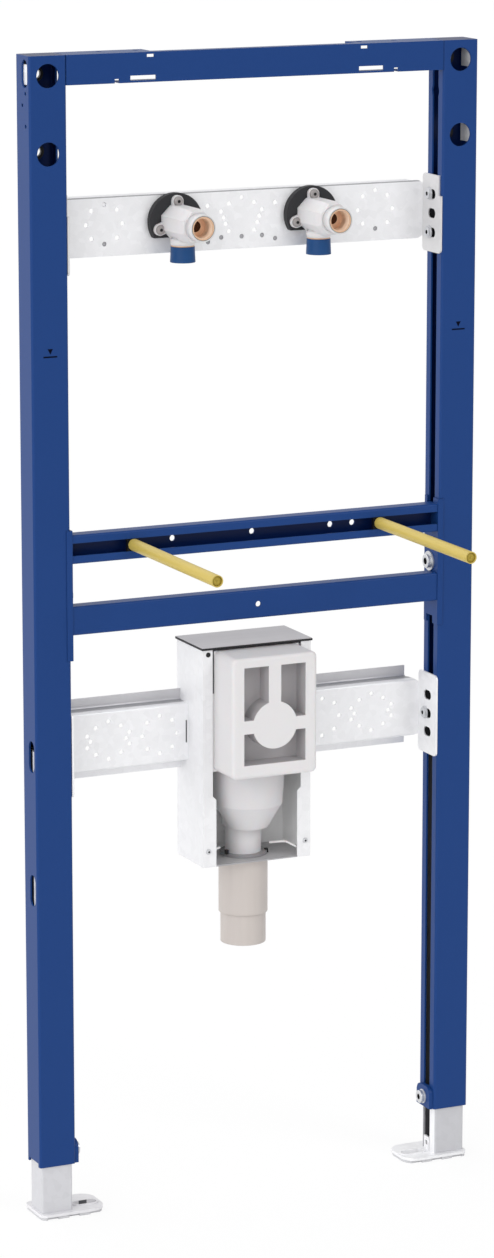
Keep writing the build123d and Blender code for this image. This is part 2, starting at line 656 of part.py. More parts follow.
def trap_cover():
    """Moulded hood with a rim behind the box flanges, three pockets and a round boss in front."""
    middle = Pos(0, (COVER_BOTTOM + COVER_TOP) / 2)
    height = COVER_TOP - COVER_BOTTOM
    rim_front = BOX_FRONT + BOX_WALL
    rim_back = rim_front + COVER_RIM_THICKNESS
    hood = along_y(middle * RectangleRounded(COVER_WIDTH, height, COVER_CORNER), COVER_FRONT, rim_back)
    hood = fillet(hood.faces().sort_by(Axis.Y)[0].edges(), COVER_EDGE)
    hood += along_y(middle * Rectangle(COVER_WIDTH + 2 * COVER_RIM, height), rim_front, rim_back)
    inner_corner = COVER_CORNER - COVER_WALL
    cavity = RectangleRounded(COVER_WIDTH - 2 * COVER_WALL, height - 2 * COVER_WALL, inner_corner)
    hood -= along_y(middle * cavity, COVER_FRONT + COVER_FACE, rim_back)
    window_bottom = WASTE_INLET_HEIGHT - WINDOW_DROP
    window_top = WASTE_INLET_HEIGHT + WINDOW_RISE
    side = WINDOW_WIDTH / 2
    window = span(-side, side, window_bottom, window_top)
    pan = span(-side - POCKET_WALL, side + POCKET_WALL, window_bottom - POCKET_WALL, window_top + POCKET_WALL)
    hood += along_y(pan, COVER_FRONT + COVER_FACE / 2, POCKET_BACK)
    boss = Pos(0, WASTE_INLET_HEIGHT)
    window -= boss * span(-COVER_POST_WIDTH / 2, COVER_POST_WIDTH / 2, 0, WINDOW_RISE)
    window -= boss * Rectangle(WINDOW_WIDTH, COVER_BAR_HEIGHT)
    window -= boss * Circle(COVER_DISC_DIA / 2)
    return hood - along_y(window, COVER_FRONT - COVER_FACE, COVER_FRONT + POCKET_DEPTH)


def trap_body():
    """Cup of the trap with its neck, which stands on the floor of the box and enters the pipe."""
    cup_outline = Polyline(
        (0, TRAP_TOP),
        (TRAP_TOP_DIA / 2, TRAP_TOP),
        (TRAP_SHOULDER_DIA / 2, TRAP_SHOULDER),
        (TRAP_BOTTOM_DIA / 2, TRAP_BOTTOM),
        (0, TRAP_BOTTOM),
        close=True,
    )
    cup = Pos(0, TRAP_AXIS, 0) * revolve(Plane.XZ * make_face(cup_outline), Axis.Z)
    neck = rod_z(NECK_DIA, 0, PIPE_AXIS, BOX_BOTTOM - NECK_REACH, TRAP_BOTTOM)
    floor = BOX_BOTTOM + BOX_WALL
    collar = rod_z(NECK_COLLAR_DIA, 0, PIPE_AXIS, floor, floor + NECK_COLLAR_THICKNESS)
    riser = rod_z(RISER_DIA, 0, PIPE_AXIS, TRAP_BOTTOM, WASTE_INLET_HEIGHT + RISER_ABOVE)
    inlet = rod_y(INLET_TUBE_DIA, 0, WASTE_INLET_HEIGHT, POCKET_BACK + INLET_TUBE_GAP, PIPE_AXIS)
    return cup + neck + collar + riser + inlet


def waste_pipe():
    """Pipe whose narrower spigot runs up inside the sleeve."""
    end = BOX_BOTTOM - PIPE_REACH
    pipe = rod_z(PIPE_DIA, 0, PIPE_AXIS, end, PIPE_SLEEVE_END)
    pipe += rod_z(SPIGOT_DIA, 0, PIPE_AXIS, PIPE_SLEEVE_END, BOX_BOTTOM)
    return pipe - rod_z(PIPE_BORE, 0, PIPE_AXIS, end, BOX_BOTTOM)


def waste_sleeve():
    place = (0, PIPE_AXIS, PIPE_SLEEVE_END, BOX_BOTTOM)
    return rod_z(SLEEVE_PIPE_DIA, *place) - rod_z(SPIGOT_DIA + 2 * PIPE_CLEARANCE, *place)


def left_foot_column():
    """Column that slides in the post, open to the middle between a wide front lip and a narrow rear lip."""
    width = POST_WIDTH - 2 * POST_WALL - 2 * COLUMN_CLEARANCE
    depth = POST_DEPTH - 2 * POST_WALL - 2 * COLUMN_CLEARANCE
    section = c_section(width, depth, COLUMN_WALL, COLUMN_CORNER, COLUMN_FRONT_LIP, COLUMN_REAR_LIP)
    return along_z(Pos(-POST_AXIS, POST_MIDDLE) * section, BASE_TOP, COLUMN_TOP)


def base_outline(inset):
    """Outline of the left base, drawn in by inset, with a wide arc at both corners of its wing."""
    outline = span(
        -POST_AXIS - BASE_OUTER_REACH + inset,
        -POST_AXIS + BASE_INNER_REACH - inset,
        BASE_FRONT + inset,
        BASE_BACK - inset,
    )
    outline = fillet(outline.vertices().group_by(Axis.X)[0], BASE_CORNER - inset)
    return fillet(outline.vertices().sort_by(Axis.X)[-2:], BASE_WING_CORNER - inset)


def floor_slot(margin):
    """Slot for the floor bolt, widened all round by margin."""
    slot = SlotOverall(FLOOR_SLOT_LENGTH + 2 * margin, FLOOR_SLOT_WIDTH + 2 * margin)
    return Pos(-POST_AXIS + FLOOR_SLOT_REACH, POST_MIDDLE) * slot


def left_foot_base():
    """Base plate with a rim round its slot and a small tab in the mouth of the column."""
    base = along_z(base_outline(0) - floor_slot(0), PAD_THICKNESS, BASE_TOP)
    base += along_z(floor_slot(FLOOR_SLOT_RIM) - floor_slot(0), BASE_TOP, BASE_TOP + FLOOR_SLOT_RIM_HEIGHT)
    face = -POST_INNER_FACE - POST_WALL - COLUMN_CLEARANCE
    front = POST_WALL + COLUMN_CLEARANCE + COLUMN_FRONT_LIP + BASE_TAB_INSET
    back = POST_DEPTH - POST_WALL - COLUMN_CLEARANCE - COLUMN_REAR_LIP - BASE_TAB_INSET
    tab = span(front, back, BASE_TOP, BASE_TOP + BASE_TAB_HEIGHT)
    tab -= Pos((front + back) / 2, BASE_TOP + BASE_TAB_HEIGHT / 2) * Circle(BASE_TAB_HOLE_DIA / 2)
    return base + along_x(tab, face - COLUMN_WALL, face)


def left_foot_pad():
    """Sound insulating pad with notches along its front and back."""
    outline = base_outline(PAD_INSET) - floor_slot(0)
    middle = -POST_AXIS + (BASE_INNER_REACH - BASE_OUTER_REACH) / 2
    for step in (-1, 0, 1):
        for y in (BASE_FRONT + PAD_INSET, BASE_BACK - PAD_INSET):
            notch = Rectangle(PAD_NOTCH_WIDTH, 2 * PAD_NOTCH_DEPTH)
            outline -= Pos(middle + step * PAD_NOTCH_PITCH, y) * notch
    return along_z(outline, 0, PAD_THICKNESS)


def left_foot_lug():
    """Clamp lug on the inner face of the post, over its slot, with rounded upper corners."""
    y0 = POST_MIDDLE - LUG_WIDTH / 2
    section = span(y0, y0 + LUG_WIDTH, POST_BOTTOM, POST_BOTTOM + LUG_HEIGHT)
    section = fillet(section.vertices().group_by(Axis.Y)[-1], LUG_CORNER)
    section -= Pos(POST_MIDDLE, POST_BOTTOM + LUG_HOLE_RISE) * Circle(LUG_HOLE_DIA / 2)
    return along_x(section, -POST_INNER_FACE, -POST_INNER_FACE + LUG_THICKNESS)


def mirrored(part):
    return mirror(part, Plane.YZ)


PAIRS = {
    "post": left_post(),
    "wall_bushes": left_wall_bushes(),
    "wall_nuts": left_wall_nuts(),
    "end_plate": left_end_plate(),
    "basin_stud": left_basin_stud(),
    "stud_sleeve": left_stud_sleeve(),
    "tap_bracket": left_tap_bracket(),
    "insulation_disc": left_insulation_disc(),
    "tap_elbow": left_tap_elbow(),
    "tap_socket": left_tap_socket(),
    "tap_plug": left_tap_plug(),
    "trap_rail": mirrored(right_trap_rail()),
    "trap_bracket": left_bracket(TRAP_BRACKET_HEIGHT, TRAP_BRACKET_MIDDLE),
    "foot_column": left_foot_column(),
    "foot_base": left_foot_base(),
    "foot_pad": left_foot_pad(),
    "foot_lug": left_foot_lug(),
}
SINGLES = {
    "top_bar": top_bar(),
    "upper_crossbar": upper_crossbar(),
    "lower_crossbar": rail(LOWER_RAIL_BOTTOM, LOWER_RAIL_HOLES, False),
    "tap_plate": tap_plate(),
    "trap_box": trap_box(),
    "trap_box_lid": trap_box_lid(),
    "trap_cover": trap_cover(),
    "trap_body": trap_body(),
    "waste_pipe": waste_pipe(),
    "waste_sleeve": waste_sleeve(),
}

os.makedirs("parts", exist_ok=True)
nodes = dict(SINGLES)
for name, piece in PAIRS.items():
    nodes[f"left_{name}"] = piece
    nodes[f"right_{name}"] = mirrored(piece)
for name, piece in nodes.items():
    export_step(ORIGIN * piece, f"parts/{name}.step")
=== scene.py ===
"""Looks of the basin installation frame: paint, zinc, plastics and brass on the CAD pieces, with the screws,
threads, seals, marks and clips that the CAD leaves out. Metres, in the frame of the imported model."""

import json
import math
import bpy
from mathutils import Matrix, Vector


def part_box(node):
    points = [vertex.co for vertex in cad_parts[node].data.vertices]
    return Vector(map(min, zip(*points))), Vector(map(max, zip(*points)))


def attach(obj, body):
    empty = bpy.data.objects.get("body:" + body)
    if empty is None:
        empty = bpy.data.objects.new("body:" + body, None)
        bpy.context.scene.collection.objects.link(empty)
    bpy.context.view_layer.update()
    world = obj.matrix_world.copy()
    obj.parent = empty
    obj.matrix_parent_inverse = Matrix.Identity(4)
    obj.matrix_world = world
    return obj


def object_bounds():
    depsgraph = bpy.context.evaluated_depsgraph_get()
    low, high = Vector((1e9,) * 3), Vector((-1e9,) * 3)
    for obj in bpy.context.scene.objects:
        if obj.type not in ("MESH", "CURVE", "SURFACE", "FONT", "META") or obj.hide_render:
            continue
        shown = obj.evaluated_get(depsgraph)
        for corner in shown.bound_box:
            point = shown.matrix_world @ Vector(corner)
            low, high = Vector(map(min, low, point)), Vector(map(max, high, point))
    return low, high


bl_info = {
    "name": "Basin installation frame",
    "version": (1, 0, 0),
    "blender": (4, 5, 0),
    "location": "View3D > Sidebar > Basin frame",
    "description": "Dresses the basin installation frame and sets its stage",
    "category": "Object",
}

import bmesh
import bpy
from mathutils import Vector

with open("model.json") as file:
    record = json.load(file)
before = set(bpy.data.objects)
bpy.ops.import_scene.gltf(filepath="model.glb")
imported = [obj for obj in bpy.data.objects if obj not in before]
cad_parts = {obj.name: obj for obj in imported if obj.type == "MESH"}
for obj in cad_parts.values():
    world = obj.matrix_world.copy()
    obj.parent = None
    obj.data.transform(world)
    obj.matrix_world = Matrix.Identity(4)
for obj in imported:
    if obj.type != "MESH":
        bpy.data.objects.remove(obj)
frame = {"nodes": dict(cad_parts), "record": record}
CAD_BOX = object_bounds()
NODES = frame["nodes"]
MM = 0.001

# The frame's middle, the floor and the front of the posts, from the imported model
MIDDLE = (CAD_BOX[0][0] + CAD_BOX[1][0]) / 2
FLOOR = CAD_BOX[0][2]
POST_LOW, POST_HIGH = (Vector(corner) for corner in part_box("left_post"))
POST_MIDDLE = (POST_LOW + POST_HIGH) / 2
FRONT = POST_LOW.y

# Sheet of the painted profiles, the trap box and the columns, and the slack at the limits of a tint
POST_SHEET = 2.0 * MM
BOX_SHEET = 1.5 * MM
COLUMN_SHEET = 2.5 * MM
SKIN = 0.05 * MM

# Distance between the slots of the tap and trap brackets
SLOT_PITCH = 20.0 * MM

# Inner radius, in millimetres, of a ring that stands for a disc
PIN_HOLE = 0.02

# Inwards is from the left post to the middle
SIDES = ("left", "right")
INWARDS = Vector((1, 0, 0))
BACKWARDS = Vector((0, 1, 0))
FORWARDS = Vector((0, -1, 0))
UPWARDS = Vector((0, 0, 1))

WHITE_PLASTIC = {"roughness": 0.42, "darkest": 0.96, "specular": 0.35, "soft": 0.08}
FOAM_RUBBER = {"roughness": 0.8, "darkest": 0.8, "specular": 0.2}
BLACK_RUBBER = {"roughness": 0.6, "darkest": 0.85, "specular": 0.3}
MATT_SHADE = {"roughness": 0.7, "darkest": 0.9, "specular": 0.1}
SCREW_INPUTS = (
    "Washer Radius",
    "Washer Height",
    "Head Radius",
    "Screw Height",
    "Recess Depth",
    "Recess Share",
)


def linear(code):
    """Linear RGBA of an sRGB hex colour."""
    channels = [int(code[i : i + 2], 16) / 255 for i in (1, 3, 5)]
    return tuple(c / 12.92 if c <= 0.04045 else ((c + 0.055) / 1.055) ** 2.4 for c in channels) + (1.0,)


def add(tree, kind, links=None, values=None, **settings):
    """Adds a node with its settings, its socket values and the links into its sockets."""
    node = tree.nodes.new(kind)
    for name, value in settings.items():
        setattr(node, name, value)
    for socket, value in (values or {}).items():
        node.inputs[socket].default_value = value
    for socket, source in (links or {}).items():
        tree.links.new(source, node.inputs[socket])
    return node


def surface(name, **values):
    """Material with one Principled shader; returns it with its tree and shader."""
    material = bpy.data.materials.new(name)
    material.use_nodes = True
    tree = material.node_tree
    tree.nodes.clear()
    shader = add(tree, "ShaderNodeBsdfPrincipled", values={k.replace("_", " "): v for k, v in values.items()})
    add(tree, "ShaderNodeOutputMaterial", {"Surface": shader.outputs["BSDF"]})
    return material, tree, shader


def spaced(millimetres):
    """Texture scale whose features lie this far apart."""
    return 1.0 / (millimetres * MM)


def colour_property(name, code):
    """Colour that a user may change."""
    return bpy.props.FloatVectorProperty(
        name=name,
        description=f"{name}, as seen in plain light",
        subtype="COLOR",
        size=4,
        default=linear(code),
    )


def length_property(name, millimetres):
    """Length that a user may change."""
    return bpy.props.FloatProperty(
        name=name,
        description=f"{name}, on every such piece",
        subtype="DISTANCE",
        unit="LENGTH",
        default=millimetres * MM,
    )


class BASINFRAME_finish(bpy.types.PropertyGroup):
    """Colours of the finishes."""

    paint: colour_property("Blue paint", "#193d79")
    # Inside of the painted channels: mostly painted shade, and partly the spray reaching it less
    channel: colour_property("Inside of the painted channels", "#061f52")
    zinc: colour_property("Galvanised sheet", "#f3f3f5")
    box_zinc: colour_property("Outside of the trap box", "#ececee")
    # Painted light: the inside of the trap box is whiter than its zinc, standing in for the light that
    # bounces round in it
    dull_zinc: colour_property("Inside of the trap box", "#ffffff")
    # Painted shade in the three pockets of the cover
    pocket_shade: colour_property("Pockets of the cover", "#b4b1b3")
    column: colour_property("Column of the left foot", "#d2d2d6")
    # The right column is the left one's zinc made darker: painted shade
    shaded_column: colour_property("Column of the right foot", "#c6c6ca")
    # Painted shade in the hollow of the columns, in slots and in gaps
    hollow_shade: colour_property("Inside of the columns and slots", "#5a5a5d")
    tap_bracket: colour_property("Tap brackets", "#d7d6d7")
    # Painted shade on the upper lips of the trap rails
    rail_lip_shade: colour_property("Lips of the trap rails", "#cccbce")
    # Painted shade on the floor of the trap box and along that floor's front edge
    box_floor_shade: colour_property("Floor of the trap box", "#bbbabc")
    box_edge_shade: colour_property("Front edge of the box floor", "#a3a2a5")
    # Grey of the dimples; on the bends of the plate and the rails the same grey is painted shade
    dimple: colour_property("Dimples and bends of the zinc sheet", "#a9a9ac")
    # On the tap sockets this grey is a ring of painted shade in the gap round the brass; it is also the grey
    # band at the foot of the trap's neck
    seal: colour_property("Grey seals", "#8f8d90")
    lid: colour_property("Lid", "#cfcdd0")
    screw: colour_property("Zinc plated screws", "#d6d7da")
    dull_screw: colour_property("Elbow screws", "#a5a09f")
    recess: colour_property("Screw recesses and deep shade", "#1b1b1d")
    sleeve: colour_property("Yellow sleeve", "#cdb65c")
    # The closed end is darker than the sleeve: painted shade in the sleeve's mouth
    sleeve_end: colour_property("Closed end of the sleeve", "#a8933c")
    rubber: colour_property("Rubber discs", "#2c2c2f")
    black: colour_property("Black plastic", "#131315")
    white: colour_property("White plastic", "#dcdadb")
    cup: colour_property("Trap body", "#d3d1d3")
    brass: colour_property("Brass", "#e2bb9c")
    # Painted light in the bore, which is paler than the brass, and painted shade towards its end
    bore: colour_property("Bore of the brass sockets", "#fbe3cc")
    bore_end: colour_property("End of the bore", "#efcbae")
    plug: colour_property("Blue plug", "#1b4679")
    pipe: colour_property("Waste pipe", "#c4bcb7")
    # Painted shade of the waterway deep behind the bore
    waterway: colour_property("Waterway behind the bore", "#4b2f20")
    base: colour_property("Left foot plate", "#e9e8eb")
    pad: colour_property("Pad under the foot", "#d2d2d5")
    mark: colour_property("Printed marks", "#02061a")


class BASINFRAME_sizes(bpy.types.PropertyGroup):
    """Sizes of the small pieces."""

    clamp_head: length_property("Clamp bolt head diameter", 15.0)
    clamp_washer: length_property("Clamp bolt washer diameter", 21.0)
    bracket_head: length_property("Bracket bolt head diameter", 11.0)
    ear_head: length_property("Elbow screw head diameter", 9.0)
    flange_head: length_property("Box screw head diameter", 5.0)
    lug_head: length_property("Lug screw head diameter", 14.0)
    thread_pitch: length_property("Thread pitch", 1.81)
    mark_length: length_property("Metre mark length", 15.0)
    wire: length_property("Clip wire diameter", 2.6)


def mm(x, y, z):
    """Vector given in millimetres."""
    return Vector((x, y, z)) * MM


def from_middle(x, y, z):
    """Point given in millimetres from the frame's middle, the posts' front and the floor."""
    return Vector((MIDDLE, FRONT, FLOOR)) + mm(x, y, z)


def mirrored(point):
    """Mirror image of a point across the frame's middle."""
    return Vector((2 * MIDDLE - point.x, point.y, point.z))


def corners(node):
    """Lowest and highest corner of a CAD piece."""
    low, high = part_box(node)
    return Vector(low), Vector(high)


def front_of(node):
    """Middle of the front of a CAD piece's box."""
    low, high = corners(node)
    return Vector(((low.x + high.x) / 2, low.y, (low.z + high.z) / 2))


def top_of(node):
    """Middle of the top of a CAD piece's box."""
    low, high = corners(node)
    return Vector(((low.x + high.x) / 2, (low.y + high.y) / 2, high.z))


def reach(node):
    """Corners of a CAD piece's box for a tint, where X is the distance from the frame's middle."""
    low, high = corners(node)
    near, far = low.x - MIDDLE, high.x - MIDDLE
    if far < 0:
        near, far = -far, -near
    return Vector((max(near, -SKIN), low.y, low.z)), Vector((far, high.y, high.z))


def grain(tree, shader, spacing, height, strength, edge):
    """Bump of a fine grain with its spacing and height in millimetres, over edges rounded by a radius."""
    place = add(tree, "ShaderNodeTexCoord")
    noise = add(
        tree,
        "ShaderNodeTexNoise",
        {"Vector": place.outputs["Object"]},
        {"Scale": spaced(spacing), "Detail": 3.0},
    )
    rounded = add(tree, "ShaderNodeBevel", values={"Radius": edge * MM}, samples=6)
    bump = add(
        tree,
        "ShaderNodeBump",
        {"Height": noise.outputs["Fac"], "Normal": rounded.outputs["Normal"]},
        {"Strength": strength, "Distance": height * MM},
    )
    tree.links.new(bump.outputs["Normal"], shader.inputs["Normal"])
    return noise


def inside(tree, low, high):
    """1 within the box between two corners and within its mirror image across the frame's middle."""
    place = add(tree, "ShaderNodeTexCoord")
    parts = add(tree, "ShaderNodeSeparateXYZ", {0: place.outputs["Object"]})
    across = add(tree, "ShaderNodeMath", {0: parts.outputs["X"]}, {1: MIDDLE}, operation="SUBTRACT")
    away = add(tree, "ShaderNodeMath", {0: across.outputs[0]}, operation="ABSOLUTE")
    within = None
    for source, a, b in zip((away.outputs[0], parts.outputs["Y"], parts.outputs["Z"]), low, high):
        limits = {1: (a + b) / 2, 2: (b - a) / 2 + SKIN}
        test = add(tree, "ShaderNodeMath", {0: source}, limits, operation="COMPARE")
        if within is None:
            within = test
        else:
            tests = {0: within.outputs[0], 1: test.outputs[0]}
            within = add(tree, "ShaderNodeMath", tests, operation="MULTIPLY")
    return within.outputs[0]


def toned(tree, shader, colour, source, darkest, tints=()):
    """Base colour that a texture dims down to the given share, with other colours in the boxes of tints."""
    tone = add(tree, "ShaderNodeMapRange", {"Value": source}, {"To Min": darkest, "To Max": 1.0})
    dimmed = add(
        tree, "ShaderNodeVectorMath", {"Scale": tone.outputs["Result"]}, {0: colour[:3]}, operation="SCALE"
    )
    base = dimmed.outputs[0]
    for tint, low, high in tints:
        mix = add(tree, "ShaderNodeMix", {0: inside(tree, low, high), 6: base}, {7: tint}, data_type="RGBA")
        base = mix.outputs[2]
    tree.links.new(base, shader.inputs["Base Color"])


def blue_powder_coat(name, finish, tints=()):
    """Polyester powder coat on steel, sprayed and baked: satin, with a fine orange peel."""
    material, tree, shader = surface(name, Roughness=0.36, Specular_IOR_Level=0.15)
    peel = grain(tree, shader, spacing=2.2, height=0.05, strength=0.35, edge=0.7)
    toned(tree, shader, finish.paint, peel.outputs["Fac"], 0.94, tints)
    return material


def galvanised_sheet(name, colour, tints=(), metallic=0.35):
    """Hot dip galvanised sheet: pale and dull, with the soft cells of the zinc spangle."""
    material, tree, shader = surface(name, Metallic=metallic)
    grain(tree, shader, spacing=1.2, height=0.03, strength=0.3, edge=0.4)
    place = add(tree, "ShaderNodeTexCoord")
    cells = add(tree, "ShaderNodeTexVoronoi", {"Vector": place.outputs["Object"]}, {"Scale": spaced(7.0)})
    spangle = cells.outputs["Color"]
    toned(tree, shader, colour, spangle, 0.93, tints)
    rough = add(tree, "ShaderNodeMapRange", {"Value": spangle}, {"To Min": 0.34, "To Max": 0.5})
    tree.links.new(rough.outputs["Result"], shader.inputs["Roughness"])
    return material


def rolled_lid_sheet(finish):
    """Plain zinc sheet of the lid: grey, with faint rolling marks along its length."""
    material, tree, shader = surface("rolled_lid_sheet", Metallic=0.5, Roughness=0.5)
    grain(tree, shader, spacing=1.0, height=0.02, strength=0.3, edge=0.4)
    place = add(tree, "ShaderNodeTexCoord")
    drawn = add(tree, "ShaderNodeMapping", {"Vector": place.outputs["Object"]}, {"Scale": (0.05, 1.0, 1.0)})
    look = {"Scale": spaced(3.0), "Detail": 4.0}
    marks = add(tree, "ShaderNodeTexNoise", {"Vector": drawn.outputs[0]}, look)
    toned(tree, shader, finish.lid, marks.outputs["Fac"], 0.86)
    return material


def moulded(name, colour, roughness, darkest, specular, soft=0.0, tints=()):
    """Injection moulded plastic or rubber: even, with a fine matt grain and rounded edges."""
    material, tree, shader = surface(
        name,
        Roughness=roughness,
        Specular_IOR_Level=specular,
        Subsurface_Weight=soft,
        Subsurface_Scale=2.0 * MM,
    )
    spark = grain(tree, shader, spacing=0.8, height=0.03, strength=0.3, edge=0.8)
    toned(tree, shader, colour, spark.outputs["Fac"], darkest, tints)
    return material


def drawn_plastic(name, colour, roughness, along, darkest):
    """Extruded plastic: faint streaks along the tube, from the die."""
    material, tree, shader = surface(name, Roughness=roughness, Specular_IOR_Level=0.35)
    grain(tree, shader, spacing=0.8, height=0.02, strength=0.3, edge=0.8)
    place = add(tree, "ShaderNodeTexCoord")
    drawn = add(tree, "ShaderNodeMapping", {"Vector": place.outputs["Object"]}, {"Scale": along})
    look = {"Scale": spaced(5.0), "Detail": 3.0}
    streaks = add(tree, "ShaderNodeTexNoise", {"Vector": drawn.outputs[0]}, look)
    toned(tree, shader, colour, streaks.outputs["Fac"], darkest)
    return material


def turned_brass(finish):
    """Dezincification resistant brass, turned: tan and a little mottled, with painted light that makes the
    bore paler and painted shade towards the bore's end.
    """
    wall = 2.8 * MM
    bore_start = 0.6 * MM
    bore_end = 18.5 * MM
    material, tree, shader = surface("turned_brass", Metallic=0.35, Roughness=0.36)
    mottle = grain(tree, shader, spacing=0.9, height=0.03, strength=0.4, edge=0.5)
    low, high = reach("right_tap_socket")
    bore_high = high - Vector((wall, 0, wall))
    tints = (
        (finish.bore, low + Vector((wall, bore_start, wall)), bore_high),
        (finish.bore_end, low + Vector((wall, bore_end, wall)), bore_high),
    )
    toned(tree, shader, finish.brass, mottle.outputs["Fac"], 0.9, tints)
    return material


def zinc_plated(name, colour, roughness, metallic):
    """Zinc plated steel: bright, a little clouded."""
    material, tree, shader = surface(name, Metallic=metallic, Roughness=roughness)
    cloud = grain(tree, shader, spacing=1.5, height=0.02, strength=0.3, edge=0.3)
    toned(tree, shader, colour, cloud.outputs["Fac"], 0.9)
    return material


def painted_channel(name, finish, node, sheet):
    """Powder coat of a channel, with a dark inside: mostly painted shade, and partly the spray reaching it
    less.
    """
    low, high = reach(node)
    return blue_powder_coat(name, finish, ((finish.channel, low + sheet, high - sheet),))


def box_zinc(finish):
    """Zinc of the trap box: white inside, which is painted light, with a grey floor and a darker front edge
    below the mouth, which are painted shade.
    """
    mouth = 46.75 * MM
    low, high = reach("trap_box")
    inner_low = low + Vector((0, BOX_SHEET, BOX_SHEET))
    inner_high = high - Vector((BOX_SHEET, BOX_SHEET, 0))
    tints = (
        (finish.dull_zinc, inner_low, inner_high),
        (finish.box_floor_shade, inner_low, (inner_high.x, inner_high.y, inner_low.z)),
        (finish.box_edge_shade, low, (mouth, inner_low.y, inner_low.z)),
    )
    return galvanised_sheet("galvanised_sheet_box", finish.box_zinc, tints, metallic=0.08)


def rail_zinc(finish):
    """Zinc of the trap rails, with painted shade: greyer on the upper lip, and a line of shade where the lip
    meets the hat.
    """
    lip = 11.2 * MM
    shade_start = 9.0 * MM
    shade_below = 1.5 * MM
    shade_above = 0.3 * MM
    low, high = reach("right_trap_rail")
    bend = high.z - lip
    shade_low = (low.x, low.y + shade_start, bend - shade_below)
    shade_high = (high.x, high.y, bend + shade_above)
    tints = (
        (finish.rail_lip_shade, (low.x, low.y, bend), high),
        (finish.dimple, shade_low, shade_high),
    )
    return galvanised_sheet("galvanised_sheet_rail", finish.zinc, tints)


def cover_plastic(finish):
    """White polypropylene of the cover, with painted shade: grey in the three pockets, dark in the gap beside
    the hood's top.
    """
    pocket_rim = 0.8 * MM
    pocket_depth = 22.0 * MM
    pocket_end = 10.0 * MM
    window = 35.0 * MM
    hood = 48.5 * MM
    flange = 2.5 * MM
    gap = 45.0 * MM
    low, high = reach("trap_cover")
    pocket_high = Vector((window, low.y + pocket_depth, high.z - pocket_end))
    tints = (
        (finish.pocket_shade, low + Vector((0, pocket_rim, pocket_end)), pocket_high),
        (finish.hollow_shade, (hood + SKIN, high.y - flange, high.z - gap), high),
    )
    return moulded("white_polypropylene_cover", finish.white, **WHITE_PLASTIC, tints=tints)


def trap_plastic(finish):
    """Natural polypropylene of the trap: milky, with a grey band round the foot of its neck, just above the
    box floor.
    """
    # Height of the grey band at the foot of the neck
    seal = 3.0 * MM
    low, high = reach("trap_body")
    floor = corners("trap_box")[0].z + BOX_SHEET
    milky = {"roughness": 0.36, "darkest": 0.95, "specular": 0.4, "soft": 0.15}
    tints = ((finish.seal, (low.x, low.y, floor), (high.x, high.y, floor + seal)),)
    return moulded("natural_polypropylene", finish.cup, **milky, tints=tints)


def column_zinc(finish):
    """Zinc of the two columns, with painted shade in their hollow and behind the posts' side slots. The right
    one is a darker copy, in painted shade, and the edge of its lip has a painted highlight."""
    slot_front = 15.0 * MM
    slot_foot = 280.0 * MM
    outer_skin = 1.0 * MM
    lip_start = 0.5 * MM
    lip_end = 13.0 * MM
    lip_skin = 0.3 * MM
    sheet = Vector((COLUMN_SHEET, COLUMN_SHEET, 0))
    low, high = reach("left_foot_column")
    hollow = (finish.hollow_shade, low + sheet, high - sheet)
    shade_behind_slots = (finish.recess, (high.x - outer_skin, FRONT + slot_front, FLOOR + slot_foot), high)
    lip_low = (low.x, low.y + lip_start, low.z)
    # Painted highlight on the edge of the right column's lip
    lip_highlight = (finish.zinc, lip_low, (low.x + lip_skin, low.y + lip_end, high.z))
    return {
        "left_foot_column": galvanised_sheet(
            "galvanised_sheet_left_column", finish.column, (hollow, shade_behind_slots)
        ),
        "right_foot_column": galvanised_sheet(
            "galvanised_sheet_right_column", finish.shaded_column, (hollow, shade_behind_slots, lip_highlight)
        ),
    }


def stud_zinc(finish):
    """Zinc of the basin studs, with painted shade on their heads, which are in the dark of the channel."""
    proud = 1.0 * MM
    low, high = reach("right_basin_stud")
    head = (finish.recess, (low.x, FRONT - proud, low.z), high)
    return galvanised_sheet("zinc_plated_stud", finish.zinc, (head,))


def plate_zinc(finish):
    """Zinc of the tap plate, with a grey line of painted shade along its upper bend."""
    bend_height = 1.2 * MM
    bend_depth = 0.4 * MM
    low, high = reach("tap_plate")
    bend_low = (low.x, low.y, high.z - bend_height)
    bend_high = (high.x, low.y + bend_depth, high.z)
    return galvanised_sheet("galvanised_sheet_plate", finish.zinc, ((finish.dimple, bend_low, bend_high),))


def left_foot_finishes(finish):
    """Zinc of the left foot plate and foam of its pad, both with painted shade in the long slot."""
    slot_low = Vector((0, FRONT, FLOOR)) + mm(188.5, 12.0, 0.0)
    slot_high = Vector((0, FRONT, FLOOR)) + mm(197.5, 23.0, 6.8)
    tints = ((finish.hollow_shade, slot_low, slot_high),)
    return {
        "left_foot_base": galvanised_sheet("galvanised_sheet_base", finish.base, tints),
        "left_foot_pad": moulded("grey_foam_rubber_pad", finish.pad, **FOAM_RUBBER, tints=tints),
    }


